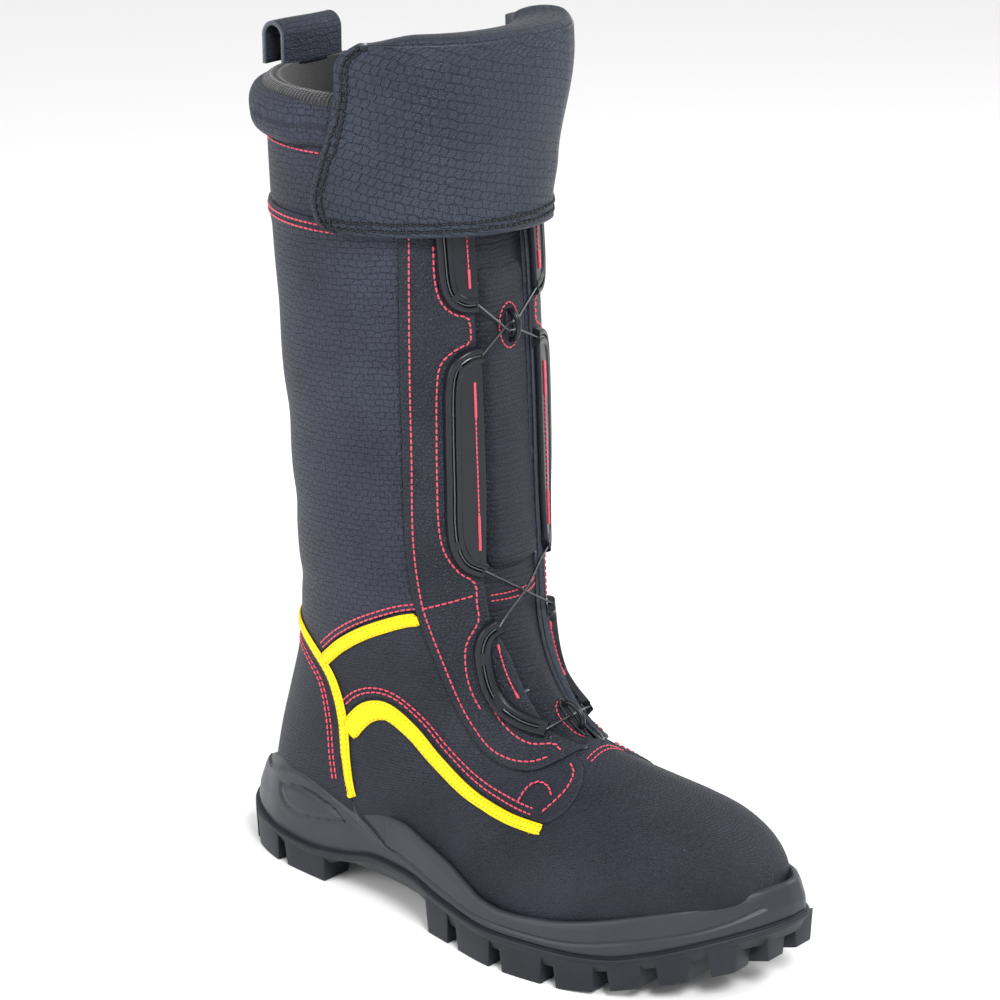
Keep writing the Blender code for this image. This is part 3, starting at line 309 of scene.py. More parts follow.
def split(data, triangles, level, keep_low=True):
    """Splits triangles along the line where the last column has this value, and may drop the low side."""
    height = data[:, -1] - level
    high = height > 0
    count = high[triangles].sum(axis=1)
    whole = triangles[(count == 3) | ((count == 0) & keep_low)]
    mixed = triangles[(count == 1) | (count == 2)]
    if not len(mixed):
        return data, whole
    lone_is_high = high[mixed].sum(axis=1) == 1
    lone = np.where(lone_is_high[:, None], high[mixed], ~high[mixed]).argmax(axis=1)
    row = np.arange(len(mixed))
    a, b, c = (mixed[row, (lone + i) % 3] for i in range(3))
    ends = np.sort(np.concatenate([np.stack([a, b], 1), np.stack([a, c], 1)]), axis=1)
    ends, index = np.unique(ends, axis=0, return_inverse=True)
    index = index.reshape(-1) + len(data)
    share = height[ends[:, 0]] / (height[ends[:, 0]] - height[ends[:, 1]])
    new = data[ends[:, 0]] + (data[ends[:, 1]] - data[ends[:, 0]]) * share[:, None]
    ab, ac = index[:len(mixed)], index[len(mixed):]
    lone_side = np.stack([a, ab, ac], 1)[lone_is_high | keep_low]
    other = ~lone_is_high | keep_low
    pair = np.concatenate([np.stack([ab, b, c], 1)[other], np.stack([ab, c, ac], 1)[other]])
    return np.concatenate([data, new]), np.concatenate([whole, lone_side, pair])


def linked(name, data):
    made = bpy.data.objects.new(name, data)
    bpy.context.scene.collection.objects.link(made)
    return made


def new_object(name, mesh, body, look, replaced=()):
    """A piece: an object that rides on a body, with its materials and the nodes it replaces."""
    made = linked(name, mesh)
    for used in look if isinstance(look, tuple) else (look,):
        mesh.materials.append(used)
    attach(made, body)
    if replaced:
        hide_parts(*replaced)
    return made


def mesh_from(name, points, faces, coordinates=None, edge=None, weld=0.02, sharp=None):
    """A smooth mesh from millimetres, with leather coordinates and the distance to its edge."""
    mesh = bpy.data.meshes.new(name)
    corners_m = (np.asarray(points, float) * MM).tolist()
    mesh.from_pydata(corners_m, [], [tuple(int(i) for i in f) for f in faces])
    if coordinates is not None:
        layer = mesh.uv_layers.new(name="leather")
        corners = np.zeros(len(mesh.loops), np.int32)
        mesh.loops.foreach_get("vertex_index", corners)
        layer.data.foreach_set("uv", np.asarray(coordinates, np.float32)[corners].ravel())
    if edge is not None:
        attribute = mesh.attributes.new("edge", "FLOAT", "POINT")
        attribute.data.foreach_set("value", np.asarray(edge, np.float32))
    if weld:
        work = bmesh.new()
        work.from_mesh(mesh)
        bmesh.ops.remove_doubles(work, verts=work.verts, dist=weld * MM)
        work.to_mesh(mesh)
        work.free()
    mesh.shade_smooth()
    if sharp:
        mesh.set_sharp_from_angle(angle=math.radians(sharp))
    return mesh


def turn_outward(mesh, direction):
    """Flips an open sheet whose faces mostly look away from a direction."""
    total = sum((face.normal * face.area for face in mesh.polygons), Vector())
    if total.dot(Vector(direction)) < 0:
        mesh.flip_normals()


def recalculate(mesh):
    """Turns the faces of a closed mesh outward."""
    work = bmesh.new()
    work.from_mesh(mesh)
    bmesh.ops.recalc_face_normals(work, faces=work.faces)
    work.to_mesh(mesh)
    work.free()


def grid_faces(rows, columns, closed_rows=False, closed_columns=False):
    faces = []
    for r in range(rows if closed_rows else rows - 1):
        for c in range(columns if closed_columns else columns - 1):
            a, b = r * columns + c, r * columns + (c + 1) % columns
            low = (r + 1) % rows * columns
            faces.append((a, b, low + (c + 1) % columns, low + c))
    return faces


def capped(rows, columns):
    """The faces of a closed bar of rings, with a cap at each end."""
    return [*grid_faces(rows, columns, closed_columns=True), tuple(range(columns))[::-1],
            tuple((rows - 1) * columns + k for k in range(columns))]


def thicken(made, thickness, paler_rim=True, offset=-1.0):
    """Makes a sheet this thick. With a paler rim, its cut edge takes the second material."""
    solid = made.modifiers.new("thickness", "SOLIDIFY")
    solid.thickness = thickness * MM
    solid.offset = offset
    solid.material_offset_rim = int(paler_rim)


# How far a panel's edge rolls down, by the distance to the edge.
EDGE_ROLL = ((0.0, -0.75), (0.5, -0.28), (1.2, -0.04), (2.2, 0.0))


def panel(name, field, out, thickness, look, replaced=(), roll=EDGE_ROLL):
    """A panel of the upper: the part of the form where the field is above zero, as a thick sheet
    whose edges roll down. out is a distance from the form, or an array with one for each base point."""
    data = np.concatenate([BASE, np.broadcast_to(out, field.shape)[:, None], field[:, None]], axis=1)
    data, triangles = split(data, BASE_TRIANGLES, 0.0, keep_low=False)
    for level, _ in roll[1:]:
        data, triangles = split(data, triangles, level)
    used, index = np.unique(triangles, return_inverse=True)
    data, triangles = data[used], index.reshape(-1, 3)
    edge = np.maximum(data[:, -1], 0)
    lift = data[:, 8] + np.interp(edge, *zip(*roll))
    points = data[:, :3] + data[:, 3:6] * lift[:, None]
    mesh = mesh_from(name, points, triangles, data[:, 6:8], edge)
    made = new_object(name, mesh, GROUND_BODY, look, replaced)
    thicken(made, thickness, isinstance(look, tuple))
    return made


def resample(line, pitch):
    """Points, normals and directions at even distances along a line of (point, normal)."""
    points, normals = (np.array(x, float) for x in zip(*line))
    length = run_length(points)
    count = max(2, round(length[-1] / pitch) + 1)
    at = np.linspace(0, length[-1], count)
    points, normals = (np.stack([np.interp(at, length, x[:, i]) for i in range(3)], 1)
                       for x in (points, normals))
    return points, unit(normals), unit(np.gradient(points, axis=0))


def thread(name, lines, look, body=GROUND_BODY, pitch=3.1, length=2.5, radius=0.42):
    """Stitches along lines of (point, normal): short arched threads whose ends go into the leather.
    A stitch's shape is its rings, each with its share of the length, its rise and its size."""
    shape = ((-0.5, -0.5, 0.45), (-0.36, 0.05, 0.95), (0.0, 0.35, 1.0), (0.36, 0.05, 0.95), (0.5, -0.5, 0.45))
    ring = round_ring(1.0, 6)
    points, faces = [], []
    for line in lines:
        if len(line) < 2:
            continue
        at, normals, along = resample(line, pitch)
        middle, normal, ahead = (at[1:] + at[:-1]) / 2, normals[:-1], along[:-1]
        across = np.cross(ahead, normal)
        for p, n, a, c in zip(middle, normal, ahead, across):
            first = len(points)
            for share, rise, size in shape:
                centre = p + a * share * length + n * rise * radius
                points += [centre + (c * x + n * y) * radius * size for x, y in ring]
            faces += [tuple(first + i for i in face) for face in capped(len(shape), len(ring))]
    return new_object(name, mesh_from(name, points, faces, weld=0), body, look)


def sweep(name, points, normals, profiles, look, replaced=(), sharp=None):
    """A closed bar. profiles holds, for each point, its ring in (across, out) coordinates."""
    points, normals = np.array(points, float), np.array(normals, float)
    across = unit(np.cross(np.gradient(points, axis=0), normals))
    corners = [p + c * a + n * b for p, n, c, ring in zip(points, normals, across, profiles) for a, b in ring]
    mesh = mesh_from(name, corners, capped(len(points), len(profiles[0])), weld=0, sharp=sharp)
    return new_object(name, mesh, GROUND_BODY, look, replaced)


def round_ring(radius, sides):
    turns = [2 * math.pi * k / sides for k in range(sides)]
    return [(radius * math.cos(t), radius * math.sin(t)) for t in turns]


# ---------------------------------------------------------------- materials


def node(tree, kind, inputs=None, **settings):
    """A shader node. inputs maps a socket's name or index to a value or to another node's output."""
    made = tree.nodes.new("ShaderNode" + kind)
    for key, value in settings.items():
        setattr(made, key, value)
    for key, value in (inputs or {}).items():
        if isinstance(value, bpy.types.NodeSocket):
            tree.links.new(value, made.inputs[key])
        else:
            made.inputs[key].default_value = value
    return made


def new_material(name, **shader_values):
    made = bpy.data.materials.new(name)
    made.use_nodes = True
    tree = made.node_tree
    shader = tree.nodes["Principled BSDF"]
    for key, value in shader_values.items():
        shader.inputs[key.replace("_", " ")].default_value = value
    return made, tree, shader


def maths(tree, operation, *values):
    return node(tree, "Math", dict(enumerate(values)), operation=operation).outputs[0]


def place_of(tree):
    return node(tree, "TexCoord").outputs["Object"]


def noise(tree, scale, detail=3.0, roughness=0.55, vector=None):
    inputs = {"Vector": vector or place_of(tree), "Scale": scale, "Detail": detail, "Roughness": roughness}
    return node(tree, "TexNoise", inputs).outputs["Fac"]


def ramp(tree, factor, stops):
    made = node(tree, "ValToRGB", {"Fac": factor})
    while len(made.color_ramp.elements) < len(stops):
        made.color_ramp.elements.new(0.5)
    for element, (position, colour) in zip(made.color_ramp.elements, stops):
        element.position = position
        element.color = (*colour, 1.0) if hasattr(colour, "__len__") else (colour, colour, colour, 1.0)
    return made.outputs["Color"]


def mix(tree, factor, base, added):
    return node(tree, "Mix", {0: factor, 6: base, 7: (*added, 1.0)}, data_type="RGBA").outputs[2]


def bump(tree, shader, *layers):
    """Bump from (height, distance in mm) layers, one on top of the other."""
    normal = None
    for height, distance in layers:
        inputs = {"Height": height, "Distance": distance * MM, "Strength": 1.0}
        if normal:
            inputs["Normal"] = normal
        normal = node(tree, "Bump", inputs).outputs["Normal"]
    tree.links.new(normal, shader.inputs["Normal"])


def leather(name, dark, light, cell, cell_depth, grain_depth, rough, pebbles=900.0, bend=1.7, crease=0.0):
    """Pressed leather: rows of staggered cells with bowed sides, over a fine grain, paler along its edges.
    bend is how far the rows wander, and crease the depth of level wrinkles, both in mm."""
    made, tree, shader = new_material(name, Specular_IOR_Level=0.22)
    flat = node(tree, "UVMap", uv_map="leather").outputs["UV"]
    wander = node(tree, "TexNoise", {"Vector": flat, "Scale": 0.22, "Detail": 2.0}).outputs["Color"]
    offset = node(tree, "VectorMath", {0: wander, 1: (0.5, 0.5, 0.5)}, operation="SUBTRACT").outputs[0]
    offset = node(tree, "VectorMath", {0: offset, "Scale": bend}, operation="SCALE").outputs[0]
    bent = node(tree, "VectorMath", {0: flat, 1: offset}, operation="ADD").outputs[0]
    groove = node(tree, "TexBrick", {
        "Vector": bent, "Scale": 1.0, "Mortar Size": 0.36, "Mortar Smooth": 1.0,
        "Brick Width": cell[0], "Row Height": cell[1],
    }, offset=0.5).outputs["Fac"]
    pebble = node(tree, "TexVoronoi", {"Vector": place_of(tree), "Scale": pebbles, "Randomness": 1.0},
                  feature="DISTANCE_TO_EDGE").outputs["Distance"]
    grain = noise(tree, 2600.0, 4.0, 0.6)
    patches = noise(tree, 22.0, 4.0, 0.6)
    edge = node(tree, "Attribute", attribute_name="edge").outputs["Fac"]
    wear = maths(tree, "ADD", maths(tree, "MULTIPLY", edge, 0.35), maths(tree, "MULTIPLY", patches, 0.5))
    worn = ramp(tree, wear, ((0.18, 1.0), (0.52, 0.0)))
    colour = ramp(tree, patches, ((0.32, dark), (0.72, light)))
    # Painted shade: the colour is darkened along the pressed grooves between the cells, where shade falls.
    colour = mix(tree, maths(tree, "MULTIPLY", groove, 0.36), colour, tuple(c * 0.45 for c in dark))
    colour = mix(tree, maths(tree, "MULTIPLY", worn, 0.30), colour, tuple(min(c * 2.1, 1) for c in light))
    tree.links.new(colour, shader.inputs["Base Color"])
    shine = maths(tree, "MULTIPLY_ADD", patches, 0.22, rough - 0.11)
    shine = maths(tree, "ADD", shine, maths(tree, "MULTIPLY", groove, 0.12))
    tree.links.new(shine, shader.inputs["Roughness"])
    press = maths(tree, "SUBTRACT", 1.0, groove)
    pebble = ramp(tree, pebble, ((0.0, 0.0), (0.25, 1.0)))
    layers = [(press, cell_depth), (pebble, grain_depth), (grain, 0.06)]
    if crease:
        waves = node(tree, "TexWave", {"Vector": place_of(tree), "Scale": 120.0, "Distortion": 5.0,
                                       "Detail": 3.0, "Detail Scale": 0.7}, bands_direction="Z")
        layers.insert(0, (waves.outputs["Fac"], crease))
    bump(tree, shader, *layers)
    return made


def plain(name, colour, rough, fleck=0.25, bump_scale=1800.0, depth=0.08, detail_scale=60.0, **values):
    """A matt or glossy surface with a fine texture, uneven colour and uneven gloss."""
    made, tree, shader = new_material(name, **values)
    patches = noise(tree, detail_scale, 4.0, 0.6)
    low, high = (tuple(min(c * k, 1) for c in colour) for k in (1 - fleck, 1 + fleck))
    tree.links.new(ramp(tree, patches, ((0.3, low), (0.7, high))), shader.inputs["Base Color"])
    tree.links.new(maths(tree, "MULTIPLY_ADD", patches, 0.24, rough - 0.12), shader.inputs["Roughness"])
    bump(tree, shader, (noise(tree, bump_scale, 3.0, 0.6), depth))
    return made


def cloth(name, colour, light, thread_width, depth):
    """A woven cloth: two crossing sets of threads."""
    made, tree, shader = new_material(name, Roughness=0.9, Sheen_Weight=0.25)
    inputs = {"Vector": place_of(tree), "Scale": 0.5 / (thread_width * MM), "Distortion": 0.6, "Detail": 1.0}
    waves = [node(tree, "TexWave", inputs, bands_direction=way).outputs["Fac"] for way in ("Z", "DIAGONAL")]
    weave = maths(tree, "MULTIPLY", *waves)
    tree.links.new(ramp(tree, weave, ((0.1, colour), (0.9, light))), shader.inputs["Base Color"])
    bump(tree, shader, (weave, depth), (noise(tree, 2500.0), 0.05))
    return made


def brushed(name, colour, rough, stretch):
    """Steel or wire, with fine marks along one way."""
    made, tree, shader = new_material(name, Metallic=1.0)
    where = node(tree, "Mapping", {"Vector": place_of(tree), "Scale": stretch}).outputs[0]
    marks = noise(tree, 900.0, 2.0, 0.5, where)
    tree.links.new(ramp(tree, marks, ((0.3, tuple(c * 0.75 for c in colour)), (0.7, colour))),
                   shader.inputs["Base Color"])
    tree.links.new(maths(tree, "MULTIPLY_ADD", marks, 0.2, rough - 0.1), shader.inputs["Roughness"])
    bump(tree, shader, (marks, 0.03))
    return made


# dark and light colour, cell size in mm, cell depth, grain depth, roughness, pebble scale, bend, crease
LEATHER = leather(
    "leather", (0.015, 0.02, 0.0315), (0.027, 0.0345, 0.0525), (4.3, 3.9), 0.40, 0.14, 0.40, 900.0, 3.4)
SHAFT_LEATHER = leather(
    "shaft_leather", (0.016, 0.0185, 0.031), (0.031, 0.035, 0.056), (4.4, 2.9), 0.30, 0.20, 0.46, 800.0, 3.5)
FOOT_LEATHER = leather(
    "foot_leather", (0.0115, 0.014, 0.0215), (0.024, 0.028, 0.041), (3.2, 1.7), 0.20, 0.20, 0.46, 1100.0, 2.5)
FACING_LEATHER = leather(
    "facing_leather", (0.0095, 0.012, 0.018), (0.02, 0.024, 0.035), (2.4, 1.9), 0.09, 0.30, 0.46, 650.0, 3.0)
TONGUE_LEATHER = leather(
    "tongue_leather", (0.009, 0.0112, 0.017), (0.018, 0.022, 0.032), (2.6, 1.7), 0.08, 0.20, 0.48, 900.0, 3.0,
    0.3)
SUEDE = plain("suede", (0.034, 0.046, 0.066), 0.92, 0.4, 1500.0, 0.30, 500.0, Sheen_Weight=0.5)
PIPING = plain("piping", (0.84, 0.60, 0.006), 0.52, 0.04, 1500.0, 0.05, 200.0, Specular_IOR_Level=0.2)
PIPING_THREAD = plain("piping_thread", (0.42, 0.26, 0.004), 0.6, 0.1)
RED_THREAD = plain("red_thread", (0.60, 0.035, 0.075), 0.55, 0.25, 4000.0, 0.05, 900.0, Sheen_Weight=0.3)
BLACK_THREAD = plain("black_thread", (0.004, 0.0045, 0.006), 0.45, 0.3, 4000.0, 0.05, 900.0,
                     Specular_IOR_Level=0.3)
PLASTIC = plain("plastic", (0.0075, 0.0090, 0.0130), 0.30, 0.15, 1200.0, 0.02, 120.0, Specular_IOR_Level=0.30)
RUBBER = plain("rubber", (0.0095, 0.0115, 0.0165), 0.50, 0.25, 1400.0, 0.08, 60.0, Specular_IOR_Level=0.28)
MIDSOLE = plain("midsole", (0.020, 0.0235, 0.031), 0.42, 0.14, 2200.0, 0.09, 35.0, Specular_IOR_Level=0.32)
LINING = cloth("lining", (0.007, 0.007, 0.009), (0.020, 0.020, 0.024), 0.9, 0.25)
FOOTBED = plain("footbed", (0.045, 0.050, 0.060), 0.95, 0.4, 1500.0, 0.25, 400.0, Sheen_Weight=0.4)
TAPE = plain("tape", (0.014, 0.014, 0.016), 0.95, 0.4, 1300.0, 0.5, 700.0, Sheen_Weight=0.3)
BOARD = plain("board", (0.50, 0.44, 0.33), 0.9, 0.2, 900.0, 0.15, 300.0)
STEEL = brushed("steel", (0.60, 0.61, 0.63), 0.36, (1, 8, 8))
WIRE = brushed("wire", (0.12, 0.125, 0.135), 0.28, (6, 6, 1))

# ---------------------------------------------------------------- the upper's panels


def tied(*lines):
    """One outline from several lines."""
    return [tuple(p) for line in lines for p in line]


heel_line = smooth_line(HEEL_SEAM, 4)
ankle_line = smooth_line(ANKLE_SEAM, 4)
side_line = smooth_line(SIDE_SEAM, 4)
tab_line = smooth_line(TAB_EDGE, 4)
facing_line = smooth_line(FACING_EDGE, 4)
at_ankle = int(np.abs(heel_line[:, 0] - ANKLE_SEAM[0][0]).argmin())
at_side = int(np.abs(heel_line[:, 1] - 88).argmin())


def opening_field():
    """How far each base point lies outside the front opening."""
    outline = [(-x, z) for x, z in OPENING] + [(x, z) for x, z in reversed(OPENING)]
    return np.where(BASE[:, 1] < 60, -inside(outline, BASE[:, 0], BASE_Z), 99.0)


OUTSIDE_OPENING = opening_field()
ABOVE_FLOOR = BASE_Z - value_at(FLOOR, BASE_U) - 0.3


def in_side_view(*lines):
    return inside(tied(*lines), BASE_U, BASE_Z)


def soft_dents(*places):
    """Dents of the leather, each as (u, z, width, height, depth)."""
    total = np.zeros(len(BASE))
    for u, z, width, height, depth in places:
        total -= depth * np.exp(-((BASE_U - u) / width) ** 2 - ((BASE_Z - z) / height) ** 2)
    return total


def make_panels():
    dents = soft_dents((60, 232, 60, 14, 1.2), (45, 190, 40, 10, 1.0), (80, 285, 50, 16, 0.8),
                       (50, 152, 30, 7, 0.9), (110, 210, 40, 12, 0.6))
    heel = in_side_view(moved(heel_line, -0.1), [(118, -10), (-20, -10), (-20, HEEL_SEAM[0][1])])
    panel("heel_cover_leather", np.minimum(heel, ABOVE_FLOOR), 0, 2, (FOOT_LEATHER, SUEDE),
          ("heel_cover",))
    shaft = in_side_view([(-20, HEEL_SEAM[0][1])], moved(heel_line[:at_ankle], 0.1), moved(ankle_line, 0.1),
                         [(240, 165), (240, BAND_BOTTOM), (-20, BAND_BOTTOM)])
    lift = 1.1 * smooth_step(BAND_BOTTOM - 14, BAND_BOTTOM - 3, BASE_Z)
    panel("shaft_leather", np.minimum(shaft, OUTSIDE_OPENING), dents + lift, 2, (SHAFT_LEATHER, SUEDE),
          ("shaft_panel",))
    band = np.minimum(BASE_Z - BAND_BOTTOM + 2.5, BAND_TOP + 0.5 - BASE_Z)
    panel("top_band_leather", np.minimum(band, OUTSIDE_OPENING), -0.2, 1.6, SHAFT_LEATHER,
          ("top_band",))
    vamp = in_side_view(moved(side_line, 0.3)[1:], moved(tab_line, 3)[1:],
                        [(209, 99), (209, 130), (335, 130), (335, -10), (118.5, -10)],
                        moved(heel_line[at_side:], 0.1)[::-1])
    panel("vamp_leather", np.minimum(vamp, ABOVE_FLOOR), 0, 2, (FOOT_LEATHER, SUEDE), ("vamp",))
    quarter = in_side_view(moved(heel_line[at_ankle + 1:at_side], 0.1), side_line[1:], tab_line[1:],
                           [(210.9, 99), (210.9, 166), (182, 164)], ankle_line[::-1])
    raised = 1.3 * smooth_step(196, 216, BASE_U)
    facing = in_side_view(facing_line, [(240, 96), (240, 372)])
    for side, name in SIDES.items():
        half = side * BASE_V - 0.15
        cut = np.minimum(OUTSIDE_OPENING, half)
        panel(f"quarter_leather_{name}", np.minimum(quarter, cut), raised, 2.0, (FOOT_LEATHER, SUEDE),
              (f"quarter_{name}",))
        panel(f"facing_leather_{name}", np.minimum(facing, cut), 2.6, 3.2, (FACING_LEATHER, SUEDE),
              (f"facing_{name}",))


PIPING_RISE, PIPING_THICKNESS = 1.45, 1.1
# How far a strip's surface drops, by the distance to its edge.
PIPING_CROWN = ((0.0, -0.75), (0.3, -0.3), (0.8, -0.05), (1.6, 0.0))


def strip(name, line, width, replaced, sides, skip=None):
    """Piping: a crowned strip along a line in side view, with a row of stitches along each edge.
    width is one number, or one for each point of the line."""
    half = np.broadcast_to(np.asarray(width, float) / 2, len(line))[:, None]
    left, right = moved(line, half), moved(line, -half)
    field = in_side_view(left, right[::-1])
    if skip is not None:
        field = np.minimum(field, -skip)
    for side in sides:
        part = np.minimum(field, side * BASE_V) if len(sides) > 1 else field
        panel(f"{name}_{SIDES[side]}_strip", part, PIPING_RISE, PIPING_THICKNESS, PIPING,
              (replaced.format(SIDES[side]),), PIPING_CROWN)
    rows = [moved(line, sign * (half - 1.15)) for sign in (1, -1)]
    rows = [[(u, z) for u, z in row if z > value_at(RIM, u) + 1.5] for row in rows]
    stitched = [on_side(row, side, 1.35) for row in rows for side in (1, -1)]
    thread(f"{name}_strip_thread", stitched, PIPING_THREAD, pitch=2.5, length=1.2, radius=0.30)


# The side strip's width along u: it looks narrower where the vamp turns up under it.
SIDE_STRIP_WIDTH = ((90, 10.5), (115, 10.0), (135, 7.8), (155, 6.2), (176, 4.6), (215, 4.2))


def make_piping():
    heel_strip = moved(heel_line, HEEL_PIPING / 2 - 0.6)
    heel_strip = heel_strip[heel_strip[:, 1] > value_at(RIM, heel_strip[:, 0]) - 1]
    left, right = moved(heel_strip, HEEL_PIPING / 2), moved(heel_strip, -HEEL_PIPING / 2)
    heel_room = in_side_view(left, right[::-1])
    strip("heel", heel_strip, HEEL_PIPING + 0.8, "piping_heel", (1,))
    ankle_strip = moved(ankle_line, -ANKLE_PIPING / 2 - 0.4)
    ankle_strip = ankle_strip[(ankle_strip[:, 0] > 79) & (ankle_strip[:, 0] < 139.5)]
    strip("ankle", ankle_strip, ANKLE_PIPING, "piping_ankle_{}", (1, -1), heel_room)
    width = np.interp(side_line[:, 0], *zip(*SIDE_STRIP_WIDTH))
    side_strip = moved(side_line, (-width / 2 - 0.2)[:, None])
    strip("side", side_strip, width, "piping_side_{}", (1, -1), heel_room)


make_panels()
make_piping()

# ---------------------------------------------------------------- tongue, lining, collar


def in_front_view(outline):
    return np.where(BASE[:, 1] < 45, inside(outline, BASE[:, 0], BASE_Z), -99.0)


def wrinkles(z, x):
    """Level folds of the tongue, which bow and fade towards its sides."""
    phase = z + 0.012 * x * x + 1.3 * np.sin(z / 9.0) + 0.8 * np.sin(x / 6.0 + z / 15.0)
    return np.maximum(np.sin(phase * 2 * math.pi / 5.2), -0.4)


def make_tongue():
    x = BASE[:, 0]
    side = [(22, 89), (23, 125), (30, TONGUE_SEAM)]
    lower = np.minimum(in_front_view(side + [(-v, z) for v, z in side[::-1]]), 226 - BASE_U)
    panel("tongue_lower_leather", lower, -2.6 + 0.9 * smooth_step(205, 214, BASE_U), 1.6, TONGUE_LEATHER,
          ("tongue_lower",))
    side = [(30, TONGUE_SEAM - 3), (34, 190), (34, 386)]
    upper = in_front_view(side + [(-v, z) for v, z in side[::-1]])
    fold = 0.18 * wrinkles(BASE_Z, x) * smooth_step(320, 290, BASE_Z) * smooth_step(158, 172, BASE_Z)
    panel("tongue_upper_leather", upper, -2.0 + fold, 1.6, TONGUE_LEATHER,
          ("tongue_upper",))
    corner, w, low, high = 7.0, 17.0, 171.0, 313.0
    dx = np.maximum(np.abs(x) - (w - corner), 0)
    dz = np.maximum(np.maximum(low + corner - BASE_Z, BASE_Z - (high - corner)), 0)
    pad = np.where(BASE[:, 1] < 30, corner - np.hypot(dx, dz), -99.0)
    stuffed = -2.6 + 4.2 * smooth_step(-0.5, 6.5, pad) ** 0.6
    ribs = 0.22 * wrinkles(BASE_Z, x) * smooth_step(0, 5, pad) * smooth_step(275, 262, BASE_Z)
    roll = 1.3 * np.exp(-((BASE_Z - 178) / 5.5) ** 2)
    cushion = panel("tongue_cushion", pad, stuffed + ribs + roll, 1.5, TONGUE_LEATHER,
                    ("tongue_pad",), ((0.0, -0.4), (0.8, 0.0), (2.0, 0.0)))


def make_lining():
    field = np.minimum(COLLAR_TOP + 1.6 - BASE_Z, ABOVE_FLOOR - 3.0)
    panel("lining_cloth", field, -5.6, 1.5, LINING, ("lining",), ((0.0, -0.2), (1.0, 0.0)))
    corners, faces = [], []
    ring = [(1.35 * a, 0.7 * b) for a, b in round_ring(0.85, 6)]
    for degrees in range(-123, 128, 2):
        points, normals = ring_points(np.full(7, math.radians(degrees)),
                                      np.linspace(COLLAR_TOP - 2.6, COLLAR_TOP + 1.6, 7),
                                      np.array([1.8, 0.3, -1.6, -3.4, -4.6, -5.2, -5.4]))
        points[:, 2] += np.array([0, 1.6, 2.3, 2.3, 1.6, 0.3, -1.5])
        first = len(corners)
        along = np.gradient(points, axis=0)
        across = unit(np.cross(along, normals))
        outward = unit(np.cross(across, along))
        corners += [p + c * a + o * b for p, c, o in zip(points, across, outward) for a, b in ring]
        faces += [tuple(first + i for i in face) for face in capped(len(points), len(ring))]
    mesh = mesh_from("collar_ribbed_edge", corners, faces, weld=0)
    new_object("collar_ribbed_edge", mesh, GROUND_BODY, LINING)


def make_collar():
    """The padded roll round the shaft's back: full, pulled in at its seam, and softly creased."""
    rings, sides = 220, 40
    degrees = np.linspace(-128, 128, rings)
    turn = 2 * math.pi * np.arange(sides) / sides
    angle, turns = np.meshgrid(np.radians(degrees), turn, indexing="ij")
    away = np.abs(np.degrees(angle))
    bulge = value_at(((0, 7.6), (82, 7.2), (96, 2.6), (130, 2.6)), away)
    inner = -4.6
    centre, half_depth = (bulge + inner) / 2, (bulge - inner) / 2
    half_height = (COLLAR_TOP - 1.5 - BAND_TOP) / 2
    out = centre + half_depth * np.sign(np.cos(turns)) * np.abs(np.cos(turns)) ** 0.8
    rise = half_height * np.sign(np.sin(turns)) * np.abs(np.sin(turns)) ** 0.8
    crease = 0.35 * np.sin(np.degrees(angle) * 0.42 + 2.2 * np.sin(np.degrees(angle) * 0.11)) ** 4
    crease += 0.18 * np.sin(np.degrees(angle) * 0.95 + rise * 0.35)
    out -= crease * smooth_step(0.1, 0.7, np.cos(turns)) * smooth_step(9, 2, np.abs(rise))
    points, _ = ring_points(angle, BAND_TOP + 0.2 + half_height + rise, out)
    around = np.broadcast_to(run_length(points)[:, :1], turns.shape)
    across = turns * half_height * 0.9
    coordinates = np.stack([around, across], axis=2).reshape(-1, 2)
    mesh = mesh_from("collar_cushion", points.reshape(-1, 3), capped(rings, sides), coordinates,
                     np.full(rings * sides, 9.0), weld=0)
    cushion = new_object("collar_cushion", mesh, GROUND_BODY, SHAFT_LEATHER, ("collar_pad",))


make_tongue()
make_lining()
make_collar()

# ---------------------------------------------------------------- the flap


def flap_gap(angle):
    away = np.abs(np.degrees(angle) - 180)
    return value_at(((20, FLAP_FRONT_GAP), (60, FLAP_SIDE_GAP)), away)


def flap_edge_angle(z):
    """The angle of the flap's lateral rear edge at each height."""
    wanted = value_at(FLAP_REAR_EDGE, z)
    low, high = np.full_like(z, math.radians(60)), np.full_like(z, math.radians(150))
    for _ in range(24):
        middle = (low + high) / 2
        short = SOLE_LENGTH / 2 - form_points(at_height(middle, z), middle)[:, 1] < wanted
        low, high = np.where(short, middle, low), np.where(short, high, middle)
    return (low + high) / 2


def flap_start(z):
    """Where the leather begins at each height: the flap's edge, with its top corners rounded off."""
    corner = np.clip((z - FLAP_TOP + 11) / 11, 0, 1)
    return flap_edge_angle(np.minimum(z, FLAP_TOP)) + math.radians(9) * corner ** 2


def flap_edges(points):
    """The distance of each point of a grid to the flap's sides and bottom, and along its width."""
    left = run_length(points, 1)
    return np.minimum(left, left[:, -1:] - left), run_length(points), left


# How far the flap's medial corner stands up, and its medial side out or in, in mm, with the place and
# the spread of each in degrees round the shaft.
CURL, CURL_AT, CURL_SPREAD = 2.4, 223, 5
FLARE_OUT, FLARE_IN, FLARE_AT, FLARE_SPREAD = 9.0, 3.0, 212, 34


def curl(angle, z):
    """How far the flap's medial top corner stands up."""
    return CURL * np.exp(-((np.degrees(angle) - CURL_AT) / CURL_SPREAD) ** 2) * smooth_step(388, 417, z)


def flare(angle, z):
    """How far the flap stands away on its medial side: out at its top, and in at its bottom."""
    near = np.exp(-((np.degrees(angle) - FLARE_AT) / FLARE_SPREAD) ** 2)
    return FLARE_OUT * near * smooth_step(350, 408, z) - FLARE_IN * near ** 3 * smooth_step(354, 336, z)


FLAP_WIDTH = 190
FLAP_STITCHES = (4.2, 7.2)


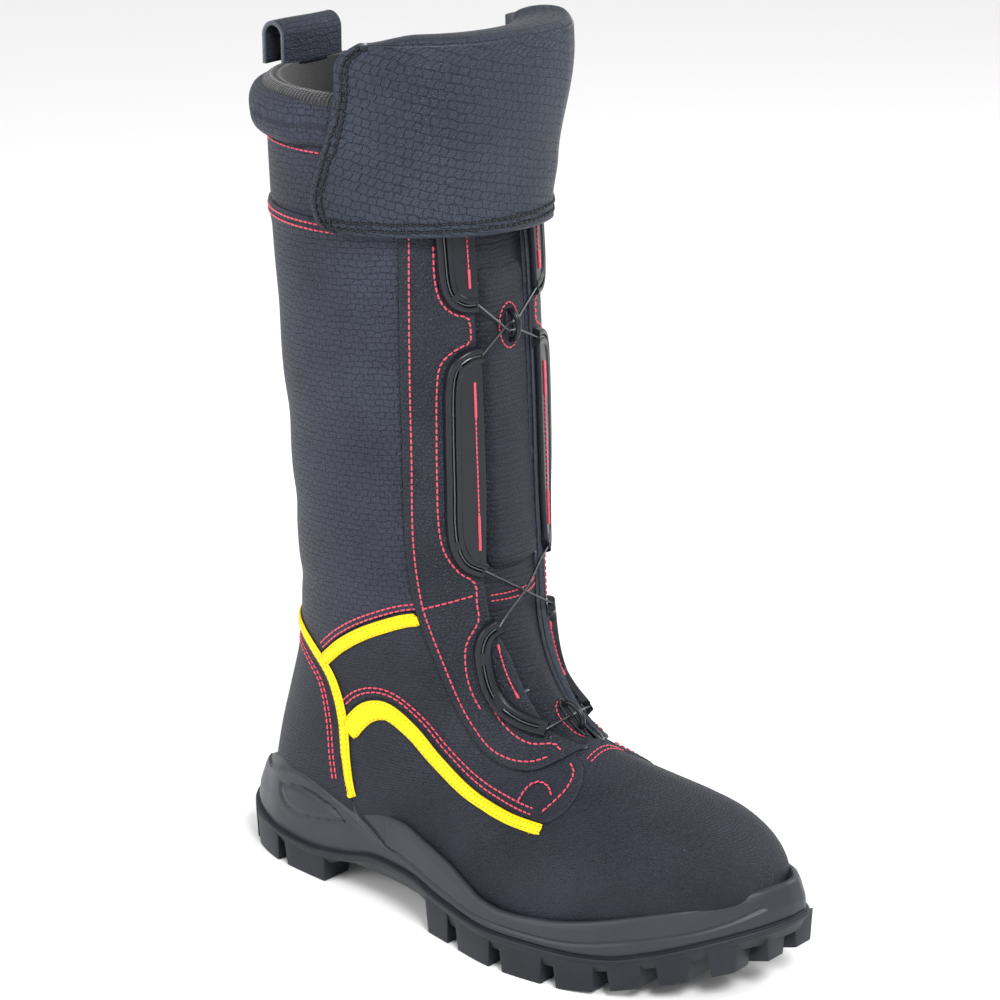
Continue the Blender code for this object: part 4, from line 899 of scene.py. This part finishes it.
def make_flap():
    fine = np.array([0, 0.15, 0.5, 1.2, 2.2, 3.5])
    heights = np.concatenate([FLAP_BOTTOM + fine, np.arange(FLAP_BOTTOM + 5, FLAP_TOP, 1.8), [FLAP_TOP]])
    share = fine / FLAP_WIDTH
    shares = np.concatenate([share[:-1], np.linspace(share[-1], 1 - share[-1], 130), 1 - share[-2::-1]])
    start = flap_start(heights)
    angle = start[:, None] + (2 * math.pi - 2 * start[:, None]) * shares
    z = np.broadcast_to(heights[:, None], angle.shape)
    points, normals = ring_points(angle, z, flap_gap(angle) + FLAP + flare(angle, z))
    sides, bottom, left = flap_edges(points)
    edge = np.minimum(sides, bottom)
    rolled = np.interp(edge, (0, 0.5, 1.4, 3.0), (-1.3, -0.7, -0.2, 0.0))
    groove = -0.4 * np.exp(-((edge - 5.6) / 1.8) ** 2)
    bulge = 0.9 + 0.5 * np.sin(left / 17.0) * smooth_step(4, 20, edge) + 0.4 * np.sin(z / 13.0 + left / 40.0)
    points = points + normals * (rolled + groove + bulge)[..., None]
    points[..., 2] += curl(angle, z) + 0.8 * np.sin(left / 26.0) * smooth_step(14, 0, bottom)
    coordinates = np.stack([left - 0.25 * z, z + 0.22 * left], axis=2).reshape(-1, 2)
    faces = grid_faces(*angle.shape)
    mesh = mesh_from("flap_leather", points.reshape(-1, 3), faces, coordinates, edge.ravel(), 0)
    turn_outward(mesh, (0, -1, 0))
    thicken(new_object("flap_leather", mesh, FLAP_BODY, (LEATHER, SUEDE), ("flap",)), FLAP)
    rows = [row_at(points, normals, distance) for distance in FLAP_STITCHES]
    thread("flap_thread", rows, BLACK_THREAD, FLAP_BODY, pitch=3.3, length=2.8, radius=0.65)
    make_fold()


def row_at(points, normals, distance):
    """Stitching a distance in from the flap's lateral edge, its bottom and its medial edge."""
    out = []
    sides, bottom, _ = flap_edges(points)
    top = len(points) - 2
    for r in range(top, -1, -1):
        if bottom[r, 4] < distance:
            break
        c = int(np.abs(sides[r, :60] - distance).argmin())
        out.append((points[r, c] + normals[r, c] * 0.2, normals[r, c]))
    low = int(np.abs(bottom[:, 70] - distance).argmin())
    columns = [c for c in range(points.shape[1]) if sides[low, c] >= distance]
    out += [(points[low, c] + normals[low, c] * 0.2, normals[low, c]) for c in columns]
    for r in range(low, top + 1):
        c = points.shape[1] - 1 - int(np.abs(sides[r, ::-1][:60] - distance).argmin())
        out.append((points[r, c] + normals[r, c] * 0.2, normals[r, c]))
    return out


def make_fold():
    """The leather that rises inside the collar and folds over to the flap's top edge."""
    rings, turns = 140, np.linspace(0, math.pi, 15)
    start = float(flap_start(np.array([FLAP_TOP]))[0])
    angle = np.linspace(start, 2 * math.pi - start, rings)
    outer_gap = flap_gap(angle) + FLAP + 0.5 + flare(angle, np.full(rings, FLAP_TOP))
    within = np.full(rings, -5.0)
    from_end = np.minimum(angle - start, 2 * math.pi - start - angle) * 60
    crown = 0.9 + 4.2 * smooth_step(0, 26, from_end)
    middle, radius = (outer_gap + within) / 2, (outer_gap - within) / 2

    def over(turn, thickness):
        base = FLAP_TOP - 1.6 * np.cos(turn / 2)
        return middle - (radius - thickness) * np.cos(turn), base + (crown - thickness) * np.sin(turn)

    def level(gap, *heights):
        return [(gap, np.full(rings, z)) for z in heights]

    rise = (COLLAR_TOP + 0.2, 398.0, 406.0)
    profile = level(within, *rise) + [over(turn, 0.0) for turn in turns]
    profile += level(outer_gap, FLAP_TOP - 1.8) + level(outer_gap - 0.45, FLAP_TOP - 1.8, FLAP_TOP + 0.1)
    profile += [over(turn, 2.0) for turn in turns[-3::-1]] + level(within + 2, *rise[::-1])
    corners = np.stack([ring_points(angle, z, out)[0] for out, z in profile], axis=1)
    lift = curl(angle, np.full(rings, FLAP_TOP + 3))
    corners[..., 2] += lift[:, None] * smooth_step(396, FLAP_TOP - 2, corners[..., 2])
    around, across = run_length(corners[:, 8]), run_length(corners[60])
    coordinates = np.stack(np.meshgrid(around, across, indexing="ij"), axis=2).reshape(-1, 2)
    edges = np.repeat(np.minimum(around, around[-1] - around), len(profile))
    faces = capped(rings, len(profile))
    mesh = mesh_from("fold_leather", corners.reshape(-1, 3), faces, coordinates, edges, 0)
    recalculate(mesh)
    new_object("fold_leather", mesh, GROUND_BODY, LEATHER, ("collar_gusset",))


make_flap()


def make_pull_loop():
    """A strap folded into a loop, its cut edges paler than its face."""
    u_back, u_front, bottom, top, thick, half_width = 25.0, 39.0, COLLAR_TOP + 0.6, 409.0, 2.0, 19
    radius, middle = (u_front - u_back) / 2, (u_back + u_front) / 2
    shoulder, turns = top - radius, np.linspace(0, math.pi, 17)
    arch = [(u_back, z) for z in np.linspace(bottom, shoulder, 8)[:-1]]
    arch += [(middle - radius * math.cos(t), shoulder + radius * math.sin(t)) for t in turns]
    arch += [(u_front, z) for z in np.linspace(shoulder, bottom, 8)[1:]]
    columns = np.linspace(-half_width, half_width, 24)
    lengths = run_length(np.array(arch))
    points = [place(u - 0.5 * math.sin(v / 6) * (u < middle), v, z) for u, z in arch for v in columns]
    coordinates = [(v, s) for s in lengths for v in columns]
    edge = [half_width - abs(v) for _ in arch for v in columns]
    mesh = mesh_from("pull_loop_strap", points, grid_faces(len(arch), len(columns)), coordinates, edge, 0)
    turn_outward(mesh, (0, 0, 1))
    loop = new_object("pull_loop_strap", mesh, GROUND_BODY, (SHAFT_LEATHER, SUEDE), ("pull_loop",))
    thicken(loop, thick)


make_pull_loop()

# ---------------------------------------------------------------- stitching


def on_both(function, line, out):
    return [function(line, side, out) for side in SIDES]


# How far the side seam's two rows of stitches lie from it, along u.
SIDE_ROWS = ((95, 5.0), (130, 4.6), (152, 4.2), (176, 3.6), (215, 2.6))


def make_red_thread():
    lines = []
    for distance in (6.6, 9.0):
        row = [(u, z) for u, z in moved(heel_line, -distance) if z > value_at(RIM, u) + 1 and u > 24]
        lines += on_both(on_side, row, 0.1)
    for distance in (1.5, 3.8):
        lines += on_both(on_side, moved(ankle_line[3:26], distance), 0.1)
    for shift in (-1.1, 1.1):
        away = np.interp(side_line[:, 0], *zip(*SIDE_ROWS)) + shift
        lines += on_both(on_side, moved(side_line, away[:, None])[5:], 0.2)
    lines.append(on_ring(-106, 106, BAND_TOP - 2.5, 0.1))
    lines += [on_ring(-112, 112, BAND_BOTTOM - d, 1.1) for d in (2.6, 5.4)]
    thread("panel_thread", lines, RED_THREAD)


def make_facing_thread():
    edge = moved(facing_line, 3.4)[3:-4]
    lines = on_both(on_side, edge, 2.7)
    wave = ((33.5, 325), (33.8, 310), (32, 299), (27, 293), (22, 291.5), (21.2, 286), (21.5, 280),
            (27, 277.5), (33, 271.5), (34.8, 260), (35.3, 240), (35.4, 215), (35, 196), (33.2, 183),
            (28.5, 173), (23.4, 168), (23.2, 158), (22.8, 151), (24.4, 146), (27.0, 139), (27.4, 128),
            (26.6, 117), (25.2, 108))
    lines += on_both(on_front, smooth_line(wave, 5), 2.7)
    wave_end = ((169.5, 108.5), (173, 104), (180, 98.5), (189, 95.2), (198.8, 96), (203, 93.4))
    for row in (wave_end, ((139.5, 155.5), (147, 158.2), (157, 161.9))):
        lines += on_both(on_side, smooth_line(row, 5), 2.7)
    arch = ((195.6, 73.5), (196.1, 78.5), (199.7, 81.9), (206.5, 81.9), (211.5, 79.6))
    tab = ((209.8, 90.4), (214.9, 87.8), (217, 83.4), (215, 78.6), (211.4, 73.6))
    for row in (arch, tab):
        lines += on_both(on_side, smooth_line(row, 5), 1.5)
    thread("facing_thread", lines, RED_THREAD)
    on_guide = GUIDE_HEIGHT + 2.5
    bars = ((((21.6, 262), (21.6, 184)), on_guide), (((21.6, 345), (21.6, 305)), on_guide),
            (((17.6, 138), (16.9, 126), (15.9, 114)), 2.9))
    knots = []
    for bar, out in bars:
        knots += on_both(on_front, smooth_line(bar, 12), out)
    thread("guide_thread", knots, RED_THREAD, pitch=2.2, length=2.0, radius=0.36)
    ends = [line[:4] for line in knots] + [line[-4:] for line in knots]
    thread("guide_bartacks", ends, RED_THREAD, pitch=0.8, length=1.4, radius=0.62)


def make_tongue_thread():
    lines = []
    for where, z in TONGUE_GUIDES.items():
        base = {"upper": 1.7, "lower": -2.5}[where]
        ring = [(6.2 * math.sin(t), z + 10.5 * math.cos(t)) for t in np.linspace(0, 2 * math.pi, 40)]
        if where == "lower":
            ring = [(v * 0.95, 106 + (h - 106) * 0.62) for v, h in ring]
        lines.append(on_front(ring, 1, base))
    for z in (TONGUE_SEAM + 1.5, TONGUE_SEAM + 4.2):
        lines.append(on_front([(v, z) for v in np.linspace(-17, 17, 24)], 1, -1.9))
    for u in (215.0, 217.4):
        joint = [hit((x, SOLE_LENGTH / 2 - u, 300), (0, 0, -1), 0.1) for x in np.linspace(-12, 12, 14)]
        lines.append([j for j in joint if j])
    thread("tongue_thread", lines, RED_THREAD, pitch=2.3, length=1.8, radius=0.34)


make_red_thread()
make_facing_thread()
make_tongue_thread()

# ---------------------------------------------------------------- guides, lace and reel


def front_route(route, side, out, steps):
    found = on_front(smooth_line(route, steps), side, out)
    points, normals = (np.array(x) for x in zip(*found))
    return points, normals


def guide_ring(open_slot):
    """A guide's section: a raised rail with round shoulders, and the lace's slot where it is open."""
    w, h, r = 3.6, 3.0, 1.3
    turns = np.linspace(0, math.pi / 2, 5)
    right = [(0.95, 0.7 if open_slot else h - 0.25), (1.0, h - 0.05), (1.35, h)]
    right += [(w - r + r * math.sin(t), h - r + r * math.cos(t)) for t in turns]
    right += [(w + 0.5, 0.5), (w + 0.7, -0.6)]
    return [(-a, b) for a, b in right[::-1]] + right


def make_guides():
    for where, route in GUIDE_ROUTES.items():
        rise = GUIDE_HEIGHT + (LOWER_GUIDE_LIFT if where == "lower" else 0.0)
        for side, name in SIDES.items():
            points, normals = front_route(route, side, rise, 10)
            shares = np.linspace(0, 1, len(points))
            rings = [guide_ring(any(a <= s <= b for a, b in GUIDE_SLOTS[where])) for s in shares]
            sweep(f"guide_rail_{where}_{name}", points, normals, rings, PLASTIC,
                  replaced=(f"guide_{where}_{name}",), sharp=35)
            if where != "lower":
                make_flange(where, name, side, route, rise)


def make_flange(where, name, side, route, rise):
    """The guide's thin base, from its rail to the facing's edge, sewn down along it."""
    columns, rows = 7, []
    edge_vs, edge_zs = zip(*OPENING[::-1])
    for v, z in smooth_line(route, 5):
        edge_v = float(np.interp(z, edge_zs, edge_vs)) - 0.4
        if v - edge_v < 3.5:
            continue
        reach = v - 1.7 - edge_v
        row = on_front([(edge_v + reach * k / (columns - 1), z) for k in range(columns)], side, rise - 0.3)
        if len(row) == columns:
            rows.append([p for p, _ in row])
    points = np.array(rows).reshape(-1, 3)
    mesh = mesh_from("flange", points, grid_faces(len(rows), columns), weld=0)
    turn_outward(mesh, (0, -1, 0))
    base = new_object(f"guide_flange_{where}_{name}", mesh, GROUND_BODY, PLASTIC)
    thicken(base, 2.6, False, 1.0)
    soft = base.modifiers.new("edges", "BEVEL")
    soft.width = 0.6 * MM
    soft.segments = 3


def make_tongue_guides():
    for where, z in TONGUE_GUIDES.items():
        (centre, normal), = on_front([(0, z)], 1, TONGUE_GUIDE_BASE[where])
        up = unit(np.cross((1, 0, 0), normal))
        turns = np.linspace(0, math.pi, 25)
        arch = [centre + up * 6.5 * math.cos(t) + normal * (1.0 + 4.8 * math.sin(t) ** 0.8) for t in turns]
        facing = [up * math.cos(t) + normal * math.sin(t) for t in turns]
        rings = [round_ring(1.35, 14)] * len(arch)
        sweep(f"tongue_ring_{where}", arch, facing, rings, PLASTIC,
              replaced=(f"tongue_guide_{where}",))
        eye = [(2.6 * math.cos(t), z + 6.6 * math.sin(t)) for t in np.linspace(0, 2 * math.pi, 33)]
        found = on_front(eye, 1, TONGUE_GUIDE_BASE[where] + 0.35)
        sweep(f"tongue_eyelet_{where}", [p for p, _ in found], [n for _, n in found],
              [round_ring(0.55, 8)] * len(found), PLASTIC)


def reel_frame():
    (centre, normal), = on_front([(0, REEL_HEIGHT)], 1, 0)
    return centre, unit(np.array((0, normal[1], normal[2])))


def lace_route():
    """The wire's middle, from the reel's lateral side, through every guide, to its medial side."""
    in_guide = GUIDE_HEIGHT + 0.9 + 0.3 + LACE_RADIUS

    def through(where, side, downward):
        lift = in_guide + (LOWER_GUIDE_LIFT if where == "lower" else 0.0)
        points, _ = front_route(GUIDE_ROUTES[where], side, lift, 6)
        runs_down = where != "upper"
        return points if downward == runs_down else points[::-1]

    def eye(where, high):
        found = on_front([(v, TONGUE_GUIDES[where] + high) for v in (2.5, 0, -2.5)], 1,
                         TONGUE_GUIDE_BASE[where] + 2.6)
        return [p for p, _ in found]

    def free(start, end, out):
        points = []
        for k in range(1, 6):
            middle = start + (end - start) * k / 6
            surface, normal = on_front([(-middle[0], middle[2])], 1, out)[0]
            points.append(surface if np.dot(middle - surface, normal) < 0 else middle)
        return points

    centre, axis = reel_frame()
    entry = [centre + axis * LACE_ENTRY + np.array((x, 0, 0)) for x in (-16.5, 16.5)]
    inner_end = [centre + axis * LACE_ENTRY + np.array((x, 0, 0)) for x in (-11.9, 11.9)]
    first, second = through("middle", -1, True), through("lower", 1, True)
    third, fourth = through("lower", -1, False), through("middle", 1, False)
    route = [inner_end[0], entry[0], *through("upper", 1, True), *eye("upper", -2.0), *first]
    route += [*free(first[-1], second[0], 1.6), *second, *eye("lower", 0.0), *third]
    route += [*free(third[-1], fourth[0], -0.4), *fourth, *eye("upper", 2.0)]
    return np.array([*route, *through("upper", -1, False), entry[1], inner_end[1]])


def make_lace():
    points = lace_route()
    curve = bpy.data.curves.new("lace_wire", "CURVE")
    curve.dimensions = "3D"
    curve.bevel_depth = LACE_RADIUS * MM
    curve.bevel_resolution = 3
    curve.use_fill_caps = True
    spline = curve.splines.new("POLY")
    spline.points.add(len(points) - 1)
    for target, point in zip(spline.points, points * MM):
        target.co = (*point, 1)
    curve.materials.append(WIRE)
    wire = linked("lace_wire", curve)
    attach(wire, GROUND_BODY)
    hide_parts("lace")


make_guides()
make_tongue_guides()
make_lace()

# ---------------------------------------------------------------- the sole

LEAF = (
    ((44.8, 41.3), (46, 37.3), (50.7, 33.1), (60.4, 31.4), (77.4, 33.7), (92.5, 36.7)),
    ((44.8, 41.3), (57.2, 45.1), (70.5, 44.9), (84.6, 41.6), (92.5, 36.7)),
)
HEEL_RIDGE = ((30, 45), (40.8, 47.6), (56.2, 51.8), (68.3, 51.2), (84.7, 45.9), (102.7, 39.4), (120.6, 32.2))
ARCH_GROOVE = ((101.7, 43.4), (111.7, 37.9), (120.6, 33.1), (141.2, 30.6), (160, 27), (180, 24.5),
               (205, 23.5), (240, 24.5), (272, 31), (298, 38), (312, 45))
RIDGE_END = 121


def line_distance(line, u, z):
    nearest = np.full(np.shape(u), 1e9)
    for (ax, ay), (bx, by) in zip(line[:-1], line[1:]):
        dx, dy = bx - ax, by - ay
        s = np.clip(((u - ax) * dx + (z - ay) * dy) / (dx * dx + dy * dy), 0, 1)
        nearest = np.minimum(nearest, np.hypot(u - ax - s * dx, z - ay - s * dy))
    return nearest


def midsole_relief(u, z):
    """How far the midsole's wall stands out: a raised leaf at the heel, a ridge and two grooves."""
    outline = tied(smooth_line(LEAF[0], 4), smooth_line(LEAF[1], 4)[::-1])
    leaf = inside(outline, u, z)
    out = 0.7 * smooth_step(0.0, 3.0, leaf)
    for line in LEAF:
        out = out - 0.9 * np.exp(-(line_distance(smooth_line(line, 4), u, z) / 0.8) ** 2)
    out = out - 1.0 * np.exp(-(line_distance(smooth_line(ARCH_GROOVE, 4), u, z) / 0.9) ** 2)
    ridge = smooth_line(HEEL_RIDGE, 4)
    above = z > np.interp(u, ridge[:, 0], ridge[:, 1])
    near = line_distance(ridge, u, z)
    step = np.where(above, -0.9 * smooth_step(0.0, 2.0, near), 0.5 * np.exp(-(near / 2.0) ** 2))
    return out + step * (u < RIDGE_END)


def sole_loop(count):
    """Points round the sole's outline, evenly spaced, with their outward directions and their u."""
    u = SOLE_LENGTH * (1 - np.cos(np.linspace(0, math.pi, 160))) / 2
    lateral, medial = place(u, value_at(OUTLINE_LATERAL, u), 0), place(u, -value_at(OUTLINE_MEDIAL, u), 0)
    line = np.concatenate([lateral, medial[::-1], lateral[:1]])[:, :2]
    length = run_length(line)
    at = np.linspace(0, length[-1], count + 1)[:-1]
    line = np.stack([np.interp(at, length, line[:, i]) for i in range(2)], 1)
    for _ in range(14):
        line = (np.roll(line, 1, axis=0) + 2 * line + np.roll(line, -1, axis=0)) / 4
    along = unit(np.roll(line, -1, axis=0) - np.roll(line, 1, axis=0))
    out = np.stack([along[:, 1], -along[:, 0]], axis=1)
    if (out * (line - line.mean(axis=0))).sum() < 0:
        out = -out
    return line, out, SOLE_LENGTH / 2 - line[:, 1]


def sole_band(name, loop, profile):
    """A closed band round the sole. profile holds an inset and a height for each point of the loop."""
    line, out, _ = loop
    rings = [np.column_stack([line - out * inset[:, None], z]) for inset, z in profile]
    points = np.stack(rings, axis=1)
    faces = grid_faces(len(line), len(profile), closed_rows=True, closed_columns=True)
    mesh = mesh_from(name, points.reshape(-1, 3), faces, weld=0)
    recalculate(mesh)
    return mesh


def wall_lean(u, h):
    """How far the wall lies inside the sole's outline at the heel and the toe, by its share of height."""
    return (2.2 + 5.3 * h) * smooth_step(70, 0, u) + 3.2 * h * smooth_step(280, 318, u)


# The midsole wall's inset by its share of height, and the cup's insets and drops below the rim.
WALL_INSET = ((0, 1.4), (0.10, 0.6), (0.40, 0.1), (0.8, 0.9), (0.94, 1.6), (1.0, 2.6))
CUP = ((3.6, 0.0), (4.8, 0.9), (7.0, 3.4), (11.0, 6.0))


def make_midsole():
    loop = sole_loop(900)
    u = loop[2]
    rib, rim, floor = value_at(RIB, u), value_at(RIM, u), value_at(FLOOR, u)
    profile = []
    for h in np.linspace(0, 1, 30):
        z = rib + 0.3 + (rim - rib - 0.3) * h
        belly = np.interp(h, *zip(*WALL_INSET))
        profile.append((belly - midsole_relief(u, z) + wall_lean(u, h), z))
    for inset, drop in CUP:
        profile.append((inset + wall_lean(u, 1), rim - drop))
    low = np.minimum(floor, rim - 7) - 3
    profile += [(np.full_like(u, 11.0), low), (np.full_like(u, 5.0), np.minimum(low, rib))]
    mesh = sole_band("midsole_foam", loop, profile)
    mesh.set_sharp_from_angle(angle=math.radians(60))
    new_object("midsole_foam", mesh, GROUND_BODY, MIDSOLE, ("midsole",))


EDGE_LUGS = (
    (4, 17), (20, 44), (48, 78), (150, 168), (173, 198), (203, 227), (232, 252), (257, 272), (277, 290),
    (295, 305),
)
TIP_LUGS = ((-29, -15, 314, 296), (-11, 3, 312, 294))
CENTRE_LUGS = ((24, 42), (50, 70), (172, 190), (200, 218), (228, 246), (256, 272))
LUG_DEPTH, LUG_TAPER, LUG_ROUNDING = 19.0, 1.4, 0.8


def lug_rings(start, end, inner, outer, side):
    """Rings of a lug, from one end to the other. inner is a function of u, and outer of u and depth."""
    rings = []
    for k in range(6):
        top_u = start + (end - start) * k / 5
        low_u = start + LUG_TAPER + (end - start - 2 * LUG_TAPER) * k / 5
        top, deep, low = value_at(RIB, top_u) - 1.5, value_at(TREAD, top_u) + 1.0, value_at(GROUND, low_u)
        rings.append([
            place(top_u, side * outer(top_u, 0.0), top), place(low_u, side * outer(low_u, 1.0), low),
            place(low_u, side * inner(low_u), low), place(top_u, side * inner(top_u), deep),
        ])
    return rings


def add_block(work, rings, width):
    """A closed block from rings of four points, with its edges rounded."""
    verts = [[work.verts.new(Vector(p) * MM) for p in ring] for ring in rings]
    faces = [work.faces.new(verts[0][::-1]), work.faces.new(verts[-1])]
    for a, b in zip(verts, verts[1:]):
        faces += [work.faces.new((a[k], a[(k + 1) % 4], b[(k + 1) % 4], b[k])) for k in range(4)]
    bmesh.ops.recalc_face_normals(work, faces=faces)
    if not width:
        return
    edges = {e for f in faces for e in f.edges if len(e.link_faces) == 2 and e.calc_face_angle(0) > 0.5}
    bmesh.ops.bevel(work, geom=list(edges), offset=width * MM, segments=2, profile=0.6, affect="EDGES")


def plate_rings(u, inset, low, high):
    """A plate across the sole, as rings of four corners."""
    half = (value_at(OUTLINE_LATERAL, u) + value_at(OUTLINE_MEDIAL, u)) / 2
    middle = (value_at(OUTLINE_LATERAL, u) - value_at(OUTLINE_MEDIAL, u)) / 2
    reach = np.maximum(half - inset, 0.5)
    corners = [place(u, middle + reach, high), place(u, middle + reach, low),
               place(u, middle - reach, low), place(u, middle - reach, high)]
    return np.stack(corners, axis=1)


def make_outsole():
    loop = sole_loop(600)
    at = loop[2]
    rib, tread, heel = value_at(RIB, at), value_at(TREAD, at), wall_lean(at, 0)
    levels = ((3.0, tread), (0.9, rib - 4.4), (0.2, rib - 3.4), (-0.1, rib - 1.8), (0.2, rib - 0.3),
              (1.0, rib + 0.4), (9.0, rib + 0.4), (9.0, tread))
    mesh = sole_band("outsole_rubber", loop, [(inset + heel, z) for inset, z in levels])
    work = bmesh.new()
    work.from_mesh(mesh)
    across = np.linspace(8, SOLE_LENGTH - 8, 90)
    rings = plate_rings(across, 6.0, value_at(TREAD, across) + 0.3, value_at(RIB, across))
    add_block(work, rings, 0)
    for start, end in EDGE_LUGS:
        for side, outline in ((1, OUTLINE_LATERAL), (-1, OUTLINE_MEDIAL)):
            def outer(at, low, outline=outline):
                return value_at(outline, at) - 0.6 - 2.2 * smooth_step(24, 0, at) - LUG_TAPER * low

            def inner(at, outline=outline):
                width = value_at(outline, at)
                return np.maximum(width - LUG_DEPTH, 0.3 * width)

            add_block(work, lug_rings(start, end, inner, outer, side), LUG_ROUNDING)
    for start, end in CENTRE_LUGS:
        shift = 4 * (start > 150)
        add_block(work, centre_lug_rings(start, end, -8.5 + shift, 8.5 + shift), LUG_ROUNDING)
    for tip in TIP_LUGS:
        add_block(work, tip_rings(*tip), LUG_ROUNDING)
    work.to_mesh(mesh)
    work.free()
    mesh.shade_smooth()
    mesh.set_sharp_from_angle(angle=math.radians(35))
    new_object("outsole_rubber", mesh, GROUND_BODY, RUBBER, ("outsole",))


def centre_lug_rings(start, end, low_v, high_v):
    rings = []
    for share, taper in ((0, 1), (1, -1)):
        at = start + (end - start) * share
        low_at = at + taper * LUG_TAPER
        top, low = value_at(TREAD, at) + 1.0, value_at(GROUND, low_at)
        rings.append([place(at, high_v, top), place(low_at, high_v - LUG_TAPER, low),
                      place(low_at, low_v + LUG_TAPER, low), place(at, low_v, top)])
    return rings


def tip_rings(low, high, near, deep):
    """Rings of a lug under the toe's tip: low and high are its ends along v, near and deep along u."""
    rings = []
    for v, taper in ((low, 1), (high, -1)):
        at = v + taper * LUG_TAPER
        rings.append([place(near, v, value_at(RIB, near) - 1.5), place(near, at, value_at(GROUND, near)),
                      place(deep, at, value_at(GROUND, deep)), place(deep, v, value_at(TREAD, deep) + 1.0)])
    return rings


def make_rib():
    """The ribbed bead round the outsole's top edge."""
    loop = sole_loop(1100)
    u = loop[2]
    ridge = 0.22 * (np.arange(len(u)) % 2)
    profile = []
    for turn in np.linspace(0, 2 * math.pi, 8, endpoint=False):
        inset = 0.4 - (1.1 + ridge) * math.cos(turn) + wall_lean(u, 0)
        profile.append((inset, value_at(RIB, u) - 1.0 + 1.2 * math.sin(turn)))
    new_object("outsole_rib", sole_band("outsole_rib", loop, profile), GROUND_BODY, RUBBER)


make_midsole()
make_outsole()
make_rib()

# ---------------------------------------------------------------- the pieces that keep their CAD shape

KEPT = {
    STEEL: ("toe_cap", "puncture_plate", "shank", "reel_axle", "reel_ratchet"),
    BOARD: ("heel_stiffener", "insole_board"),
    FOOTBED: ("footbed",),
    PLASTIC: ("reel_housing", "reel_spool", "reel_knob"),
    TAPE: ("hook_patch_lateral", "hook_patch_medial", "loop_patch_lateral", "loop_patch_medial"),
}
for look, names in KEPT.items():
    for name in names:
        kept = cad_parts[name]
        kept.data.materials.clear()
        kept.data.materials.append(look)

# ---------------------------------------------------------------- stage, light and camera


# Metres, and watts.
LOOK_AT = Vector((0, 0, 0.2))
LIGHTS = (("key", (-0.9, -1.5, 1.7), 0.7, 48), ("fill", (-1.8, 0.6, 0.9), 1.0, 20),
          ("rim", (1.4, -0.7, 1.1), 0.7, 13))
CAMERA_PLACE, CAMERA_LENS, CAMERA_SHIFT = (-1.0768, -0.9295, 0.6760), 118.3, (-0.0105, 0.003)


def make_stage():
    mesh = bpy.data.meshes.new("floor")
    size = 8.0
    corners = [(x * size, y * size, 0) for x, y in ((-1, -1), (1, -1), (1, 1), (-1, 1))]
    mesh.from_pydata(corners, [], [(0, 1, 2, 3)])
    floor = linked("floor", mesh)
    white, _, _ = new_material("floor", Roughness=0.75, Base_Color=(0.93, 0.93, 0.93, 1))
    mesh.materials.append(white)


def aim(thing, location):
    thing.location = location
    thing.rotation_euler = (LOOK_AT - Vector(location)).to_track_quat("-Z", "Y").to_euler()


def make_lights():
    world = bpy.data.worlds.new("studio")
    bpy.context.scene.world = world
    world.use_nodes = True
    background = world.node_tree.nodes["Background"]
    background.inputs["Color"].default_value = (1, 1, 1, 1)
    background.inputs["Strength"].default_value = 0.82
    for name, location, size, power in LIGHTS:
        data = bpy.data.lights.new(name, "AREA")
        data.size = size
        data.energy = power
        aim(linked(name, data), location)


def make_camera():
    data = bpy.data.cameras.new("camera")
    data.sensor_width = 36.0
    data.lens = CAMERA_LENS
    data.shift_x, data.shift_y = CAMERA_SHIFT
    camera = linked("camera", data)
    aim(camera, CAMERA_PLACE)
    bpy.context.scene.camera = camera
    bpy.context.scene.view_settings.view_transform = "Standard"


make_stage()
make_lights()
make_camera()
